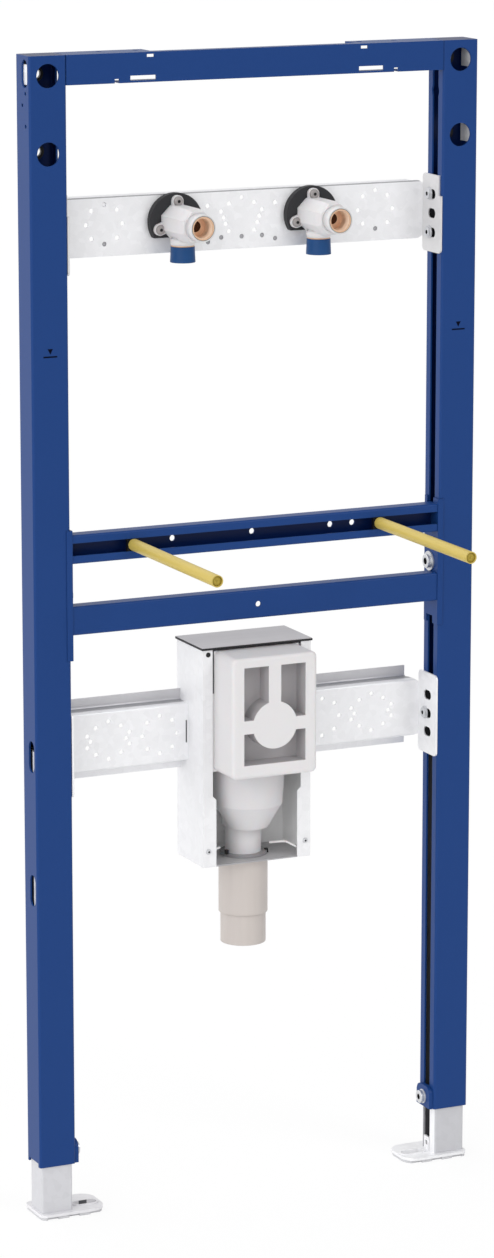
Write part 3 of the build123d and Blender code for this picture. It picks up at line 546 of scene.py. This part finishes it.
def slot_finishes(finish):
    """A finish for each material slot of the record."""
    along_y = (1.0, 0.08, 1.0)
    along_z = (1.0, 1.0, 0.05)
    return {
        "blue_paint": blue_powder_coat("blue_powder_coat", finish),
        "galvanised_steel": galvanised_sheet("galvanised_sheet", finish.zinc),
        "yellow_plastic": drawn_plastic("yellow_pe_sleeve", finish.sleeve, 0.4, along_y, 0.9),
        "black_rubber": moulded("black_epdm_rubber", finish.rubber, **BLACK_RUBBER),
        "black_plastic": moulded("black_polyamide", finish.black, roughness=0.4, darkest=0.9, specular=0.4),
        "white_plastic": moulded("white_polypropylene", finish.white, **WHITE_PLASTIC),
        "brass": turned_brass(finish),
        "blue_plastic": moulded("blue_polyethylene", finish.plug, roughness=0.42, darkest=0.92, specular=0.2),
        "grey_pipe_plastic": drawn_plastic("grey_polypropylene_pipe", finish.pipe, 0.42, along_z, 0.93),
        "grey_pad": moulded("grey_foam_rubber", finish.pad, **FOAM_RUBBER),
    }


def piece_finishes(finish):
    """Finishes of the pieces that look unlike the rest of their material slot."""
    own = {
        "trap_box": box_zinc(finish),
        "trap_box_lid": rolled_lid_sheet(finish),
        "trap_cover": cover_plastic(finish),
        "trap_body": trap_plastic(finish),
        "tap_plate": plate_zinc(finish),
        **column_zinc(finish),
        **left_foot_finishes(finish),
    }
    bar_sheet = Vector((0, POST_SHEET, POST_SHEET))
    for node in ("upper_crossbar", "lower_crossbar"):
        own[node] = painted_channel(f"blue_powder_coat_{node}", finish, node, bar_sheet)
    post_sheet = Vector((POST_SHEET, POST_SHEET, 0))
    pairs = {
        "post": painted_channel("blue_powder_coat_post", finish, "left_post", post_sheet),
        "basin_stud": stud_zinc(finish),
        "tap_bracket": galvanised_sheet("galvanised_sheet_tap_bracket", finish.tap_bracket),
        "trap_rail": rail_zinc(finish),
    }
    for piece, material in pairs.items():
        for side in SIDES:
            own[f"{side}_{piece}"] = material
    return own


def keep(context, name, mesh, material):
    """Links a finished mesh as a piece that rides on the frame."""
    piece = bpy.data.objects.new(name, mesh)
    context.scene.collection.objects.link(piece)
    if material:
        mesh.materials.append(material)
    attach(piece, "frame")


def closed_mesh(name, bm):
    """Mesh of a filled bmesh, with its faces turned outwards."""
    bmesh.ops.recalc_face_normals(bm, faces=bm.faces)
    mesh = bpy.data.meshes.new(name)
    bm.to_mesh(mesh)
    bm.free()
    return mesh


def turn_ring(bm, centre, axis, profile, steps):
    """Adds a closed ring: a profile of (radius, height) points in millimetres, turned round an axis."""
    lift = axis.to_track_quat("Z", "Y")
    rows = []
    for step in range(steps):
        angle = 2 * math.pi * step / steps
        across, along = math.cos(angle), math.sin(angle)
        rows.append([bm.verts.new(centre + lift @ mm(r * across, r * along, h)) for r, h in profile])
    for row, after in zip(rows, rows[1:] + rows[:1]):
        for i in range(len(profile)):
            j = (i + 1) % len(profile)
            bm.faces.new((row[i], after[i], after[j], row[j])).smooth = True


def add_prism(bm, outline, depth):
    """Adds a flat plate: an outline of points, thickened by a vector."""
    near = [bm.verts.new(point) for point in outline]
    far = [bm.verts.new(point + depth) for point in outline]
    bm.faces.new(near)
    bm.faces.new(reversed(far))
    for i in range(len(near)):
        j = (i + 1) % len(near)
        bm.faces.new((near[i], far[i], far[j], near[j]))


def keep_rings(context, name, centres, axis, profile, material, steps=64):
    """Piece of like rings, one round each centre."""
    bm = bmesh.new()
    for centre in centres:
        turn_ring(bm, centre, axis, profile, steps)
    keep(context, name, closed_mesh(name, bm), material)


def keep_prisms(context, name, prisms, material):
    """Piece of flat plates, each an outline and the vector of its thickness."""
    bm = bmesh.new()
    for outline, depth in prisms:
        add_prism(bm, outline, depth)
    keep(context, name, closed_mesh(name, bm), material)


def keep_boxes(context, name, boxes, material):
    """Piece of plain boxes, each between two corners."""
    prisms = []
    for low, high in boxes:
        edges = ((low.x, low.y), (high.x, low.y), (high.x, high.y), (low.x, high.y))
        prisms.append(([Vector((x, y, low.z)) for x, y in edges], UPWARDS * (high.z - low.z)))
    keep_prisms(context, name, prisms, material)


def band(inner, outer, start, end):
    """Square profile of a ring, between two radii and two heights."""
    return ((inner, start), (outer, start), (outer, end), (inner, end))


def thread_profile(pitch):
    """Profile of the rings that stand for an inner thread, in millimetres. It closes at its last root."""
    bore = 10.4
    crest = 10.0
    root = 10.35
    lead = 1.4
    depth = 18.0
    turns = int(depth / pitch)
    profile = [(bore, lead + turns * pitch), (bore, lead)]
    for turn in range(turns):
        start = lead + turn * pitch
        profile += [(crest, start + 0.4 * pitch), (crest, start + 0.6 * pitch), (root, start + pitch)]
    return profile[:-1]


def screw_tree(metal, dark):
    """Node tree that seats a socket screw with a washer on every vertex of a mesh, along its aim."""
    crown_height = 0.4 * MM
    crown_share = 0.88
    tree = bpy.data.node_groups.new("socket_screws", "GeometryNodeTree")
    sockets = tree.interface
    sockets.new_socket("Places", in_out="INPUT", socket_type="NodeSocketGeometry")
    for name in SCREW_INPUTS:
        sockets.new_socket(name, in_out="INPUT", socket_type="NodeSocketFloat")
    sockets.new_socket("Screws", in_out="OUTPUT", socket_type="NodeSocketGeometry")
    given = add(tree, "NodeGroupInput").outputs

    def stand(radius, height):
        """Cylinder that stands on the seat, with the selection of its top."""
        form = {"Radius": given[radius], "Depth": given[height]}
        drum = add(tree, "GeometryNodeMeshCylinder", form, {"Vertices": 32})
        half = add(tree, "ShaderNodeMath", {0: given[height]}, {1: 0.5}, operation="MULTIPLY")
        lift = add(tree, "ShaderNodeCombineXYZ", {"Z": half.outputs[0]})
        moved = add(
            tree, "GeometryNodeTransform", {"Geometry": drum.outputs["Mesh"], "Translation": lift.outputs[0]}
        )
        return moved.outputs[0], drum.outputs["Top"]

    washer, _ = stand("Washer Radius", "Washer Height")
    head, top = stand("Head Radius", "Screw Height")
    crown = add(
        tree,
        "GeometryNodeExtrudeMesh",
        {"Mesh": head, "Selection": top},
        {"Offset Scale": crown_height},
    )
    crown_edge = add(
        tree,
        "GeometryNodeScaleElements",
        {"Geometry": crown.outputs["Mesh"], "Selection": crown.outputs["Top"]},
        {"Scale": crown_share},
    )
    rim = add(
        tree,
        "GeometryNodeExtrudeMesh",
        {"Mesh": crown_edge.outputs[0], "Selection": crown.outputs["Top"]},
        {"Offset Scale": 0.0},
    )
    rim_edge = add(
        tree,
        "GeometryNodeScaleElements",
        {"Geometry": rim.outputs["Mesh"], "Selection": rim.outputs["Top"], "Scale": given["Recess Share"]},
    )
    depth = add(tree, "ShaderNodeMath", {0: given["Recess Depth"]}, {1: -1.0}, operation="MULTIPLY")
    well = add(
        tree,
        "GeometryNodeExtrudeMesh",
        {"Mesh": rim_edge.outputs[0], "Selection": rim.outputs["Top"], "Offset Scale": depth.outputs[0]},
    )
    hollow = add(
        tree, "FunctionNodeBooleanMath", {0: well.outputs["Top"], 1: well.outputs["Side"]}, operation="OR"
    )
    marked = add(
        tree,
        "GeometryNodeStoreNamedAttribute",
        {"Geometry": well.outputs["Mesh"], "Value": hollow.outputs[0]},
        {"Name": "recess"},
        data_type="BOOLEAN",
        domain="FACE",
    )
    screw = add(tree, "GeometryNodeJoinGeometry")
    for part in (washer, marked.outputs[0]):
        tree.links.new(part, screw.inputs[0])
    aim = add(tree, "GeometryNodeInputNamedAttribute", values={"Name": "aim"}, data_type="FLOAT_VECTOR")
    turn = add(tree, "FunctionNodeAlignRotationToVector", {"Vector": aim.outputs["Attribute"]}, axis="Z")
    seated = add(
        tree,
        "GeometryNodeInstanceOnPoints",
        {"Points": given["Places"], "Instance": screw.outputs[0], "Rotation": turn.outputs[0]},
    )
    real = add(tree, "GeometryNodeRealizeInstances", {0: seated.outputs[0]})
    zinc = add(tree, "GeometryNodeSetMaterial", {0: real.outputs[0]}, {"Material": metal})
    recess = add(tree, "GeometryNodeInputNamedAttribute", values={"Name": "recess"}, data_type="BOOLEAN")
    shaded = add(
        tree,
        "GeometryNodeSetMaterial",
        {0: zinc.outputs[0], "Selection": recess.outputs["Attribute"]},
        {"Material": dark},
    )
    add(tree, "NodeGroupOutput", {0: shaded.outputs[0]})
    return tree


def screw_shape(head, washer, washer_height, height, recess_depth, recess_share):
    """Values of the screw tree's inputs, from two diameters in metres and three heights in millimetres."""
    values = (washer / 2, washer_height * MM, head / 2, height * MM, recess_depth * MM, recess_share)
    return dict(zip(SCREW_INPUTS, values))


def seat_screws(context, name, tree, seats, shape):
    """Piece with a screw on every seat, which is a point and the direction that the head faces."""
    points = bpy.data.meshes.new(name)
    points.from_pydata([point for point, _ in seats], [], [])
    aim = points.attributes.new("aim", "FLOAT_VECTOR", "POINT")
    for spot, (_, direction) in zip(aim.data, seats):
        spot.vector = direction
    carrier = bpy.data.objects.new(name + "_places", points)
    context.scene.collection.objects.link(carrier)
    modifier = carrier.modifiers.new("screws", "NODES")
    modifier.node_group = tree
    for item in tree.interface.items_tree:
        if item.in_out == "INPUT" and item.name in shape:
            modifier[item.identifier] = shape[item.name]
    evaluated = carrier.evaluated_get(context.evaluated_depsgraph_get())
    mesh = bpy.data.meshes.new_from_object(evaluated)
    mesh.name = name
    carrier.modifiers.remove(modifier)
    bpy.data.objects.remove(carrier)
    keep(context, name, mesh, None)


def both_sides(point, direction):
    """A seat on the left and its mirror image on the right."""
    flipped = Vector((-direction.x, direction.y, direction.z))
    return [(point, direction), (mirrored(point), flipped)]


def clamp_seats():
    """On the inner faces of the end plates, a little above the lower crossbar."""
    rise = 10.0 * MM
    height = corners("lower_crossbar")[1].z + rise
    return both_sides(Vector((corners("left_end_plate")[1].x, POST_MIDDLE.y, height)), INWARDS)


def bracket_seats():
    """On the outer slots of the tap brackets and the middle slot of the trap brackets."""
    setback = 25.0 * MM
    seats = []
    for node, steps in (("left_tap_bracket", (-1, 1)), ("left_trap_bracket", (0,))):
        low, high = corners(node)
        for step in steps:
            height = (low.z + high.z) / 2 + step * SLOT_PITCH
            seats += both_sides(Vector((high.x, low.y + setback, height)), INWARDS)
    return seats


def elbow_seats():
    """On the three ears of each tap elbow, in front of its insulation disc."""
    circle = 21.0 * MM
    ear = 4.0 * MM
    tap = front_of("left_tap_socket")
    front = corners("left_insulation_disc")[0].y - ear
    seats = []
    for angle in (90, 200, 340):
        turn = math.radians(angle)
        point = Vector((tap.x + circle * math.cos(turn), front, tap.z + circle * math.sin(turn)))
        seats += both_sides(point, FORWARDS)
    return seats


def flange_seats():
    """On the lower corners of the box's front flange."""
    return both_sides(corners("trap_box")[0] + mm(6.0, 0.0, 17.0), FORWARDS)


def lug_seats():
    """On the inner faces of the foot lugs, above their lower ends."""
    rise = 11.0 * MM
    low, high = corners("left_foot_lug")
    return both_sides(Vector((high.x, POST_MIDDLE.y, low.z + rise)), INWARDS)


class BASINFRAME_OT_dress(bpy.types.Operator):
    """Gives every CAD piece its finish."""

    bl_idname = "basin_frame.dress"
    bl_label = "Dress the CAD pieces"

    def execute(self, context):
        made = slot_finishes(context.scene.basin_finish)
        own = piece_finishes(context.scene.basin_finish)
        for part in frame["record"]["subparts"]:
            mesh = NODES[part["node"]].data
            mesh.materials.clear()
            mesh.materials.append(own.get(part["node"], made[part["material_slot"]]))
        return {"FINISHED"}


class BASINFRAME_OT_screws(bpy.types.Operator):
    """Seats the clamp bolts, bracket bolts, elbow screws, box screws and lug screws."""

    bl_idname = "basin_frame.screws"
    bl_label = "Seat the screws"

    def execute(self, context):
        finish = context.scene.basin_finish
        sizes = context.scene.basin_sizes
        bright_zinc = zinc_plated("zinc_plated_screw", finish.screw, roughness=0.3, metallic=0.7)
        dull_zinc = zinc_plated("dull_zinc_screw", finish.dull_screw, roughness=0.45, metallic=0.5)
        # Painted shade in the screw recesses
        dark = zinc_plated("recess_shade", finish.recess, roughness=0.5, metallic=0.2)
        bright = screw_tree(bright_zinc, dark)
        dull = screw_tree(dull_zinc, dark)

        # Head, washer, height of the washer and the screw, depth of the recess and its share of the head
        clamp = screw_shape(sizes.clamp_head, sizes.clamp_washer, 1.6, 5.0, 3.0, 0.55)
        bracket = screw_shape(sizes.bracket_head, 1.24 * sizes.bracket_head, 1.0, 3.0, 1.5, 0.45)
        elbow = screw_shape(sizes.ear_head, 1.12 * sizes.ear_head, 0.6, 2.4, 1.4, 0.42)
        flange = screw_shape(sizes.flange_head, 1.2 * sizes.flange_head, 0.4, 1.2, 0.8, 0.5)
        lug = screw_shape(sizes.lug_head, 1.12 * sizes.lug_head, 1.2, 5.0, 3.0, 0.5)

        seat_screws(context, "clamp_bolts", bright, clamp_seats(), clamp)
        seat_screws(context, "bracket_bolts", bright, bracket_seats(), bracket)
        seat_screws(context, "elbow_screws", dull, elbow_seats(), elbow)
        seat_screws(context, "box_screws", bright, flange_seats(), flange)
        seat_screws(context, "lug_screws", bright, lug_seats(), lug)
        return {"FINISHED"}


class BASINFRAME_OT_slot_shades(bpy.types.Operator):
    """Closes the slots of the tap and trap brackets with thin black plates just inside them, which are
    painted shade.
    """

    bl_idname = "basin_frame.slot_nuts"
    bl_label = "Set the slot nuts"

    def execute(self, context):
        half_length = 3.0
        radius = 4.9
        setback = 20.0 * MM
        inset = 0.2 * MM
        depth = INWARDS * (0.6 * MM)
        arc = [math.radians(angle) for angle in range(-90, 91, 15)]
        end = [(half_length + radius * math.cos(turn), radius * math.sin(turn)) for turn in arc]
        outline = end + [(-y, -z) for y, z in end]
        shades = []
        for node in ("left_tap_bracket", "left_trap_bracket"):
            low, high = corners(node)
            for step in (-1, 0, 1):
                height = (low.z + high.z) / 2 + step * SLOT_PITCH
                slot = Vector((low.x + inset, low.y + setback, height))
                points = [slot + mm(0.0, y, z) for y, z in outline]
                shades.append((points, depth))
                shades.append(([mirrored(point) for point in points], -depth))
        finish = context.scene.basin_finish
        # Black plates of painted shade in the slots
        black = moulded("slot_shade", finish.black, roughness=0.8, darkest=0.9, specular=0.02)
        keep_prisms(context, "slot_nuts", shades, black)
        return {"FINISHED"}


class BASINFRAME_OT_sockets(bpy.types.Operator):
    """Gives each tap socket its thread, a dark disc of painted shade deep behind its bore, a white shroud,
    and a grey ring of painted shade in the gap between the brass and the shroud.
    """

    bl_idname = "basin_frame.sockets"
    bl_label = "Thread the tap sockets"

    def execute(self, context):
        finish = context.scene.basin_finish
        brass = NODES["left_tap_socket"].data.materials[0]
        white = NODES["left_tap_elbow"].data.materials[0]
        shadow = moulded("waterway_shade", finish.waterway, **MATT_SHADE)
        grey = moulded("socket_gap_shade", finish.seal, **MATT_SHADE)

        # Profiles in millimetres: radius, and depth behind the socket's front; the shroud ends in the elbow
        thread = thread_profile(context.scene.basin_sizes.thread_pitch / MM)
        # Dark disc of painted shade deep in the bore
        waterway = band(PIN_HOLE, 5.6, 19.4, 19.95)
        seat = (front_of("left_tap_elbow").y - front_of("left_tap_socket").y) / MM + 0.3
        lip = ((13.3, -0.05), (12.4, -0.05), (12.4, -0.3), (13.7, -0.3), (14.0, 0.4))
        shroud = (*lip, (14.0, seat), (13.3, seat))
        # Grey ring of painted shade in the gap between the brass and the shroud
        seal = band(11.9, 12.4, -0.15, -0.05)

        fronts = [front_of(f"{side}_tap_socket") for side in SIDES]
        keep_rings(context, "tap_threads", fronts, BACKWARDS, thread, brass)
        keep_rings(context, "waterways", fronts, BACKWARDS, waterway, shadow, steps=32)
        keep_rings(context, "socket_shrouds", fronts, BACKWARDS, shroud, white)
        keep_rings(context, "socket_gap_shades", fronts, BACKWARDS, seal, grey)
        return {"FINISHED"}


class BASINFRAME_OT_inlets(bpy.types.Operator):
    """Sets a thin brass collar and a white shroud on top of each plug."""

    bl_idname = "basin_frame.inlets"
    bl_label = "Set the inlet collars"

    def execute(self, context):
        brass = NODES["left_tap_socket"].data.materials[0]
        white = NODES["left_tap_elbow"].data.materials[0]
        collar = band(10.6, 12.0, 0.1, 1.4)
        shroud = ((10.6, 1.4), (12.3, 1.4), (12.8, 8.0), (10.6, 8.0))
        tops = [top_of(f"{side}_tap_plug") for side in SIDES]
        keep_rings(context, "inlet_collars", tops, UPWARDS, collar, brass)
        keep_rings(context, "inlet_shrouds", tops, UPWARDS, shroud, white)
        return {"FINISHED"}


class BASINFRAME_OT_sleeve_ends(bpy.types.Operator):
    """Closes the front ends of the yellow sleeves, in a darker tone that is painted shade in their mouths."""

    bl_idname = "basin_frame.sleeve_ends"
    bl_label = "Close the sleeves"

    def execute(self, context):
        finish = context.scene.basin_finish
        olive = moulded("yellow_pe_sleeve_end", finish.sleeve_end, roughness=0.6, darkest=0.85, specular=0.2)
        end = band(PIN_HOLE, 5.15, 1.2, 2.0)
        tips = [front_of(f"{side}_stud_sleeve") for side in SIDES]
        keep_rings(context, "sleeve_ends", tips, BACKWARDS, end, olive, steps=32)
        return {"FINISHED"}


class BASINFRAME_OT_plate_dimples(bpy.types.Operator):
    """Closes the holes of the tap plate that are only dimples, and one knockout that is flush."""

    bl_idname = "basin_frame.plate_dimples"
    bl_label = "Close the plate's dimples"

    def execute(self, context):
        finish = context.scene.basin_finish
        dull = zinc_plated("dull_zinc_dimple", finish.dimple, roughness=0.6, metallic=0.2)
        plate = NODES["tap_plate"].data.materials[0]
        dimple = band(PIN_HOLE, 2.35, 0.6, 1.8)
        outer = 153.0
        row = 20.0
        dimples = [(x, -row) for x in (-outer, -23.0, 0.0, 23.0, outer)] + [(-38.0, -24.0), (38.0, -24.0)]
        knockout = [(-outer, row)]
        centre = Vector((MIDDLE, front_of("tap_plate").y, front_of("left_tap_socket").z))
        for name, spots, material in (("plate_dimples", dimples, dull), ("plate_knockout", knockout, plate)):
            centres = [centre + mm(x, 0.0, z) for x, z in spots]
            keep_rings(context, name, centres, BACKWARDS, dimple, material, steps=24)
        return {"FINISHED"}


class BASINFRAME_OT_marks(bpy.types.Operator):
    """Prints a metre mark, a pointer over a line, on the front of both posts."""

    bl_idname = "basin_frame.marks"
    bl_label = "Print the metre marks"

    def execute(self, context):
        finish = context.scene.basin_finish
        half = context.scene.basin_sizes.mark_length / MM / 2
        height = 907.0
        stroke = 1.5
        tip = height + 3.2
        shoulder = height + 8.8
        pointer_half = 2.8
        ink = mm(0.0, -0.08, 0.0)
        post = (MIDDLE - POST_MIDDLE.x) / MM
        prints = []
        for x in (-post, post):
            left, right = x - half, x + half
            line = ((left, height), (right, height), (right, height + stroke), (left, height + stroke))
            pointer = ((x, tip), (x + pointer_half, shoulder), (x - pointer_half, shoulder))
            for outline in (line, pointer):
                prints.append(([from_middle(a, 0.0, b) for a, b in outline], ink))
        navy = moulded("navy_print", finish.mark, roughness=0.6, darkest=0.95, specular=0.05)
        keep_prisms(context, "metre_marks", prints, navy)
        return {"FINISHED"}


class BASINFRAME_OT_lid_dark_edges(bpy.types.Operator):
    """Lays a black strip round each of the lid's four edges, which draws the lid's dark outline."""

    bl_idname = "basin_frame.lid_gasket"
    bl_label = "Lay the lid's gasket"

    def execute(self, context):
        finish = context.scene.basin_finish
        low, high = corners("trap_box_lid")
        outer_low = low + mm(-0.4, -0.4, -0.6)
        outer_high = high + mm(0.4, 0.4, -0.5)
        foot = outer_low.z
        top = outer_high.z
        strips = (
            (outer_low, Vector((low.x, outer_high.y, top))),
            (Vector((high.x, outer_low.y, foot)), outer_high),
            (Vector((low.x, outer_low.y, foot)), Vector((high.x, low.y, top))),
            (Vector((low.x, high.y, foot)), Vector((high.x, outer_high.y, top))),
        )
        rubber = moulded("black_lid_edges", finish.rubber, **BLACK_RUBBER)
        keep_boxes(context, "lid_gasket", strips, rubber)
        return {"FINISHED"}


class BASINFRAME_OT_flange_plug(bpy.types.Operator):
    """Puts the black plug in the upper left corner of the box's front flange."""

    bl_idname = "basin_frame.flange_plug"
    bl_label = "Plug the box flange"

    def execute(self, context):
        black = NODES["left_wall_bushes"].data.materials[0]
        low, high = corners("trap_box")
        spot = Vector((low.x, low.y, high.z)) + mm(6.0, 0.0, -5.6)
        dome = ((PIN_HOLE, 0.0), (2.6, 0.0), (2.6, 0.3), (1.8, 0.6), (PIN_HOLE, 0.7))
        keep_rings(context, "flange_plug", [spot], FORWARDS, dome, black, steps=24)
        return {"FINISHED"}


class BASINFRAME_OT_neck_trim(bpy.types.Operator):
    """Adds the seals and the wire clip at the trap's neck, on the floor of the trap box."""

    bl_idname = "basin_frame.neck_trim"
    bl_label = "Trim the trap's neck"

    def execute(self, context):
        black = NODES["left_wall_bushes"].data.materials[0]
        white = NODES["trap_cover"].data.materials[0]
        floor = (corners("trap_box")[0].z - FLOOR) / MM

        half = 1.5
        front = 27.5
        back = 31.5
        rise = 4.4
        seals = []
        for x, lift in ((-23.0, 4.7), (23.0, 1.5)):
            foot = floor + lift
            seals.append((from_middle(x - half, front, foot), from_middle(x + half, back, foot + rise)))
        keep_boxes(context, "neck_seals", seals, black)

        # Ends of the wire that show left and right of the neck, with Z from the box floor
        left_route = ((-40.0, 10.0, 18.5), (-44.5, 8.0, 18.0), (-48.0, 6.0, 17.0))
        right_route = ((24.0, 23.5, 13.5), (34.5, 15.0, 15.5), (38.5, 14.0, 15.5), (47.0, 6.0, 10.5))
        curve = bpy.data.curves.new("neck_clip", "CURVE")
        curve.dimensions = "3D"
        curve.bevel_depth = context.scene.basin_sizes.wire / 2
        curve.use_fill_caps = True
        for route in (left_route, right_route):
            spline = curve.splines.new("POLY")
            spline.points.add(len(route) - 1)
            for point, (x, y, z) in zip(spline.points, route):
                point.co = (*from_middle(x, y, floor + z), 1.0)
        carrier = bpy.data.objects.new("neck_clip_route", curve)
        mesh = bpy.data.meshes.new_from_object(carrier)
        mesh.name = "neck_clip"
        bpy.data.objects.remove(carrier)
        keep(context, "neck_clip", mesh, white)
        return {"FINISHED"}


class BASINFRAME_OT_rail_slot_shades(bpy.types.Operator):
    """Draws a dark line of painted shade in the slot at the inner end of each trap rail."""

    bl_idname = "basin_frame.rail_slots"
    bl_label = "Draw the rail slots"

    def execute(self, context):
        finish = context.scene.basin_finish
        width = 1.4
        low = 485.0
        high = 509.0
        rail = (front_of("left_trap_rail").y - FRONT) / MM
        front = rail - 0.1
        back = rail + 0.4
        slots = [(from_middle(x, front, low), from_middle(x + width, back, high)) for x in (-64.5, 63.1)]
        # Painted shade in the slot
        dark = moulded("rail_slot_shade", finish.hollow_shade, **MATT_SHADE)
        keep_boxes(context, "rail_slots", slots, dark)
        return {"FINISHED"}


def lay_floor(scene):
    """Wide pale floor that the camera sees almost white."""
    half = 40.0
    outline = [(-half, -half, 0), (half, -half, 0), (half, half, 0), (-half, half, 0)]
    mesh = bpy.data.meshes.new("floor")
    mesh.from_pydata(outline, [], [(0, 1, 2, 3)])
    floor = bpy.data.objects.new("floor", mesh)
    scene.collection.objects.link(floor)

    material, tree, shader = surface("pale_floor", Roughness=0.9, Specular_IOR_Level=0.0)
    shader.inputs["Base Color"].default_value = linear("#f4f4f4")
    rays = add(tree, "ShaderNodeLightPath")
    seen = add(
        tree,
        "ShaderNodeMath",
        {0: rays.outputs["Is Camera Ray"], 1: rays.outputs["Is Glossy Ray"]},
        operation="MAXIMUM",
    )
    white_share = add(tree, "ShaderNodeMath", {0: seen.outputs[0]}, {1: 0.86}, operation="MULTIPLY")
    glow = add(tree, "ShaderNodeEmission", values={"Color": linear("#ffffff"), "Strength": 1.01})
    mixed = add(
        tree, "ShaderNodeMixShader", {0: white_share.outputs[0], 1: shader.outputs[0], 2: glow.outputs[0]}
    )
    output = next(node for node in tree.nodes if node.type == "OUTPUT_MATERIAL")
    tree.links.new(mixed.outputs[0], output.inputs["Surface"])
    mesh.materials.append(material)


def light_world(scene):
    """White backdrop, and soft light that is stronger from the left."""
    brightest_side = (-1.0, 0.35, 0.1)
    world = bpy.data.worlds.new("studio")
    scene.world = world
    world.use_nodes = True
    tree = world.node_tree
    tree.nodes.clear()
    rays = add(tree, "ShaderNodeLightPath")
    sky = add(tree, "ShaderNodeTexCoord")
    side = add(
        tree,
        "ShaderNodeVectorMath",
        {0: sky.outputs["Generated"]},
        {1: brightest_side},
        operation="DOT_PRODUCT",
    )
    power = add(
        tree,
        "ShaderNodeMapRange",
        {"Value": side.outputs["Value"]},
        {"From Min": -1.0, "From Max": 1.0, "To Min": 0.26, "To Max": 1.52},
    )
    white = linear("#ffffff")
    soft = add(tree, "ShaderNodeBackground", {"Strength": power.outputs["Result"]}, {"Color": white})
    backdrop = add(tree, "ShaderNodeBackground", values={"Color": white, "Strength": 1.0})
    mix = add(
        tree,
        "ShaderNodeMixShader",
        {0: rays.outputs["Is Camera Ray"], 1: soft.outputs[0], 2: backdrop.outputs[0]},
    )
    add(tree, "ShaderNodeOutputWorld", {"Surface": mix.outputs[0]})


def hang_sun(scene, name, energy, spread, aim):
    """Sun lamp with a strength, a spread in degrees and the direction that it shines in."""
    sun = bpy.data.lights.new(name, "SUN")
    sun.energy = energy
    sun.angle = math.radians(spread)
    lamp = bpy.data.objects.new(name, sun)
    lamp.rotation_euler = Vector(aim).to_track_quat("-Z", "Y").to_euler()
    scene.collection.objects.link(lamp)


def aim_camera(scene):
    """Camera at the viewing angle of the photograph."""
    place = (-1.6730, -4.0885, 1.5804)
    tilt = math.radians(77.795)
    heading = math.radians(-24.9036)
    lens = bpy.data.cameras.new("camera")
    lens.sensor_fit = "VERTICAL"
    lens.sensor_height = 36.0
    lens.lens = 126.93
    camera = bpy.data.objects.new("camera", lens)
    camera.location = place
    camera.rotation_euler = (tilt, 0.0, heading)
    scene.collection.objects.link(camera)
    scene.camera = camera


class BASINFRAME_OT_stage(bpy.types.Operator):
    """Sets the floor, the light and the camera."""

    bl_idname = "basin_frame.stage"
    bl_label = "Set the stage"

    def execute(self, context):
        scene = context.scene
        scene.view_settings.view_transform = "Standard"
        lay_floor(scene)
        light_world(scene)
        hang_sun(scene, "key", 0.6, 25, (-0.45, 0.75, -0.6))
        hang_sun(scene, "left_fill", 0.7, 50, (0.72, 0.62, -0.2))
        aim_camera(scene)
        return {"FINISHED"}


class BASINFRAME_PT_panel(bpy.types.Panel):
    """Lists the steps in the sidebar."""

    bl_idname = "BASINFRAME_PT_panel"
    bl_label = "Basin frame"
    bl_space_type = "VIEW_3D"
    bl_region_type = "UI"
    bl_category = "Basin frame"

    def draw(self, context):
        for operator in OPERATORS:
            self.layout.operator(operator.bl_idname)


OPERATORS = (
    BASINFRAME_OT_dress,
    BASINFRAME_OT_screws,
    BASINFRAME_OT_slot_shades,
    BASINFRAME_OT_sockets,
    BASINFRAME_OT_inlets,
    BASINFRAME_OT_sleeve_ends,
    BASINFRAME_OT_plate_dimples,
    BASINFRAME_OT_marks,
    BASINFRAME_OT_lid_dark_edges,
    BASINFRAME_OT_flange_plug,
    BASINFRAME_OT_neck_trim,
    BASINFRAME_OT_rail_slot_shades,
    BASINFRAME_OT_stage,
)
CLASSES = (BASINFRAME_finish, BASINFRAME_sizes, *OPERATORS, BASINFRAME_PT_panel)


def register():
    for cls in CLASSES:
        bpy.utils.register_class(cls)
    bpy.types.Scene.basin_finish = bpy.props.PointerProperty(type=BASINFRAME_finish)
    bpy.types.Scene.basin_sizes = bpy.props.PointerProperty(type=BASINFRAME_sizes)


def unregister():
    del bpy.types.Scene.basin_sizes
    del bpy.types.Scene.basin_finish
    for cls in reversed(CLASSES):
        bpy.utils.unregister_class(cls)


def main():
    register()
    bpy.ops.basin_frame.dress()
    bpy.ops.basin_frame.screws()
    bpy.ops.basin_frame.slot_nuts()
    bpy.ops.basin_frame.sockets()
    bpy.ops.basin_frame.inlets()
    bpy.ops.basin_frame.sleeve_ends()
    bpy.ops.basin_frame.plate_dimples()
    bpy.ops.basin_frame.marks()
    bpy.ops.basin_frame.lid_gasket()
    bpy.ops.basin_frame.flange_plug()
    bpy.ops.basin_frame.neck_trim()
    bpy.ops.basin_frame.rail_slots()
    bpy.ops.basin_frame.stage()


if __name__ == "__main__":
    main()
